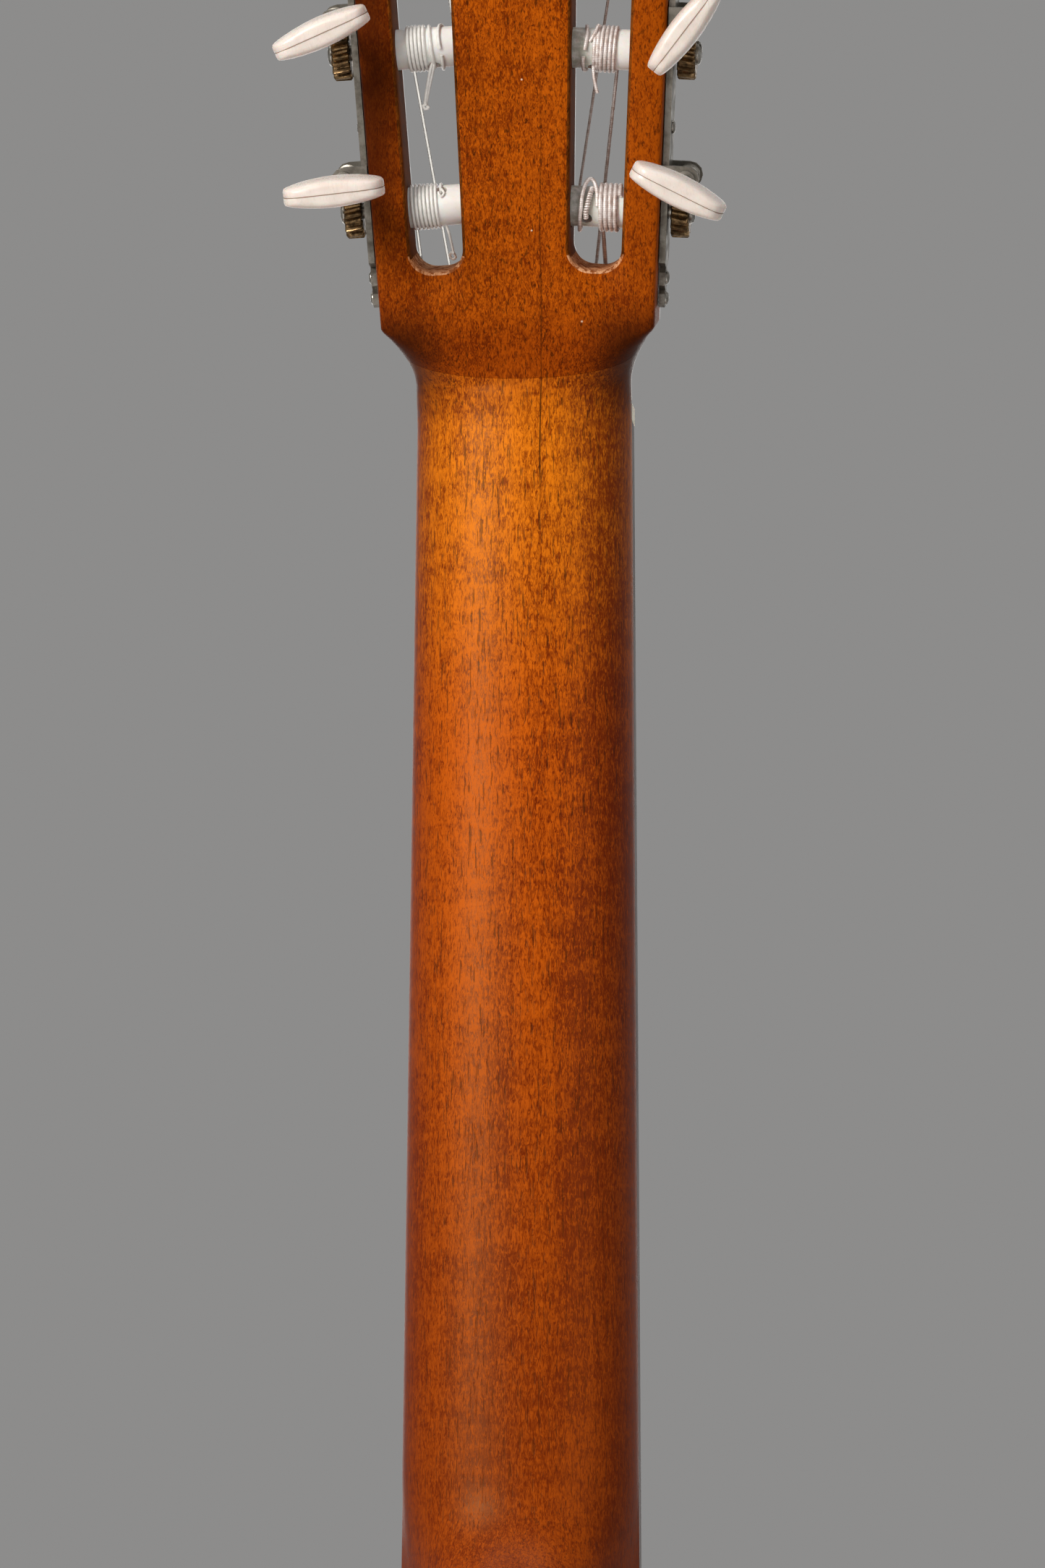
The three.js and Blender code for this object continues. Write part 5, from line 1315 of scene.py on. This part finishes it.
def make_frets(material):
    for number in range(1, FRETS + 1):
        z = NUT_Z - SCALE * (1 - 2 ** (-number / 12))
        half = finger_half(z) - 0.3
        rings = []
        for x in (-half, 0.6 - half, 1.2 - half, half - 1.2, half - 0.6, half):
            drop = 0.55 if abs(x) > half - 0.1 else (0.12 if abs(x) > half - 0.8 else 0.0)
            ring = []
            for k in range(9):
                angle = pi * k / 8
                ring.append((x, FINGERBOARD_FRONT + 0.01 - max(0.02, (1.05 - drop) * sin(angle)),
                             z + 1.1 * cos(angle)))
            rings.append(ring)
        mesh_piece(f"fret_{number}", *loft(rings), material)


# ------------------------------------------------------------------ assembly

make_camera()
make_stage()

mahogany = grain_wood("neck_mahogany", "e0780c", "7c2d02", "2c1003", shine=0.22,
                      extra=neck_extra)
head_mahogany = grain_wood("head_mahogany", "b95606", "6a2402", "260d02", extra=neck_extra,
                           figure=0.16, shine=0.1)
# Painted shade: a darker mahogany for the recessed walls inside the slots.
shaded_wall_mahogany = grain_wood("slot_wall_painted_shade", "84430f", "4a2106", "1c0b04", gloss=0.7)
raw_mahogany = grain_wood("raw_mahogany", "dba67c", "a8653a", "5a2a10", gloss=0.85, extra=chipped)
body_mahogany = grain_wood("body_mahogany", "aa4d08", "5c2103", "240c02", streaks=380.0)
spruce = spruce_material()
bare_spruce = spruce_material("bare_spruce", "e6cf9f", "c9a768")
bare_wood = grain_wood("bare_cedar", "c79b66", "9c6f42", "6d4826", gloss=0.7, coat=0.0)
rosewood = dark_wood("fingerboard_rosewood", "4a2c22", "24120f")
head_rosewood = dark_wood("veneer_rosewood", "4b2a1c", "1f0f0b", gloss=0.32, coat=0.4)
binding_wood = dark_wood("binding_rosewood", "3a1c12", "1a0c08", gloss=0.32, coat=0.5)
maple = grain_wood("purfling_maple", "e2c48e", "c9a265", "9c7440", figure=0.1)
bone = plastic("aged_bone", "efe7d2", "ddd0b2", 0.4, 0.15)
nylon = plastic("roller_nylon", "fbf6f2", "ece3dc", 0.34, 0.3, roller_stain)
cream = plastic("button_cream", "e7dcd3", "d5c7bb", 0.3, 0.25)
nickel = metal("plate_nickel", "98938a", "6f6a61", 0.42, amount=0.35, scale=260.0)
bright_steel = metal("screw_steel", "c9c5bd", "8d877d", 0.25, amount=0.35)
fret_metal = metal("fret_nickel", "d6d2c8", "b0aa9e", 0.22, amount=0.15, scale=900.0)
bronze = metal("gear_bronze", "8f7452", "4a3a28", 0.3, "17110b", 0.6, 700.0)
clear = clear_nylon("clear_nylon", 0.8)
milky = clear_nylon("milky_nylon", 0.0)
wound = wound_wire()
seam_brown = plastic("button_seam_brown", "8a7560", "6b5846", 0.7, 0.0)

make_neck(mahogany, head_mahogany, shaded_wall_mahogany, raw_mahogany)
make_veneer(head_rosewood)
make_soundboard(spruce)
rosette = ring_band(46, 58, FRONT_Y - 0.02, FRONT_Y + 0.5, "rosette_ring", rosette_material())
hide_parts("rosette")
make_back(body_mahogany)
make_ribs(body_mahogany)
make_bindings(binding_wood, maple)
make_linings(bare_wood)
make_back_details(maple, bare_wood, paper_material())
make_frets(fret_metal)
for index in range(6):
    string_material = clear if index < 3 else wound
    turn_material = milky if index < 3 else wound
    make_roller(index, nylon, bright_steel)
    make_gear(index, bronze, bright_steel)
    make_worm(index, nickel)
    make_button(index, cream, seam_brown)
    make_windings(index, turn_material)
    make_string(index, string_material)
make_plate_screws(bright_steel)

NODE_MATERIALS = {
    "neck_block": bare_wood, "tail_block": bare_wood, "upper_harmonic_bar": bare_spruce,
    "lower_harmonic_bar": bare_spruce, "heel_cap": body_mahogany, "fingerboard": rosewood, "nut": bone,
    "bridge": rosewood, "saddle": bone, "end_graft": binding_wood, "tuner_plate_treble": nickel,
    "tuner_plate_bass": nickel,
}
NODE_MATERIALS.update({f"fan_brace_{k}": bare_spruce for k in range(1, 6)})
NODE_MATERIALS.update({f"back_brace_{k}": bare_wood for k in range(1, 4)})
for node, look in NODE_MATERIALS.items():
    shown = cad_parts[node]
    shown.data.materials.clear()
    shown.data.materials.append(look)
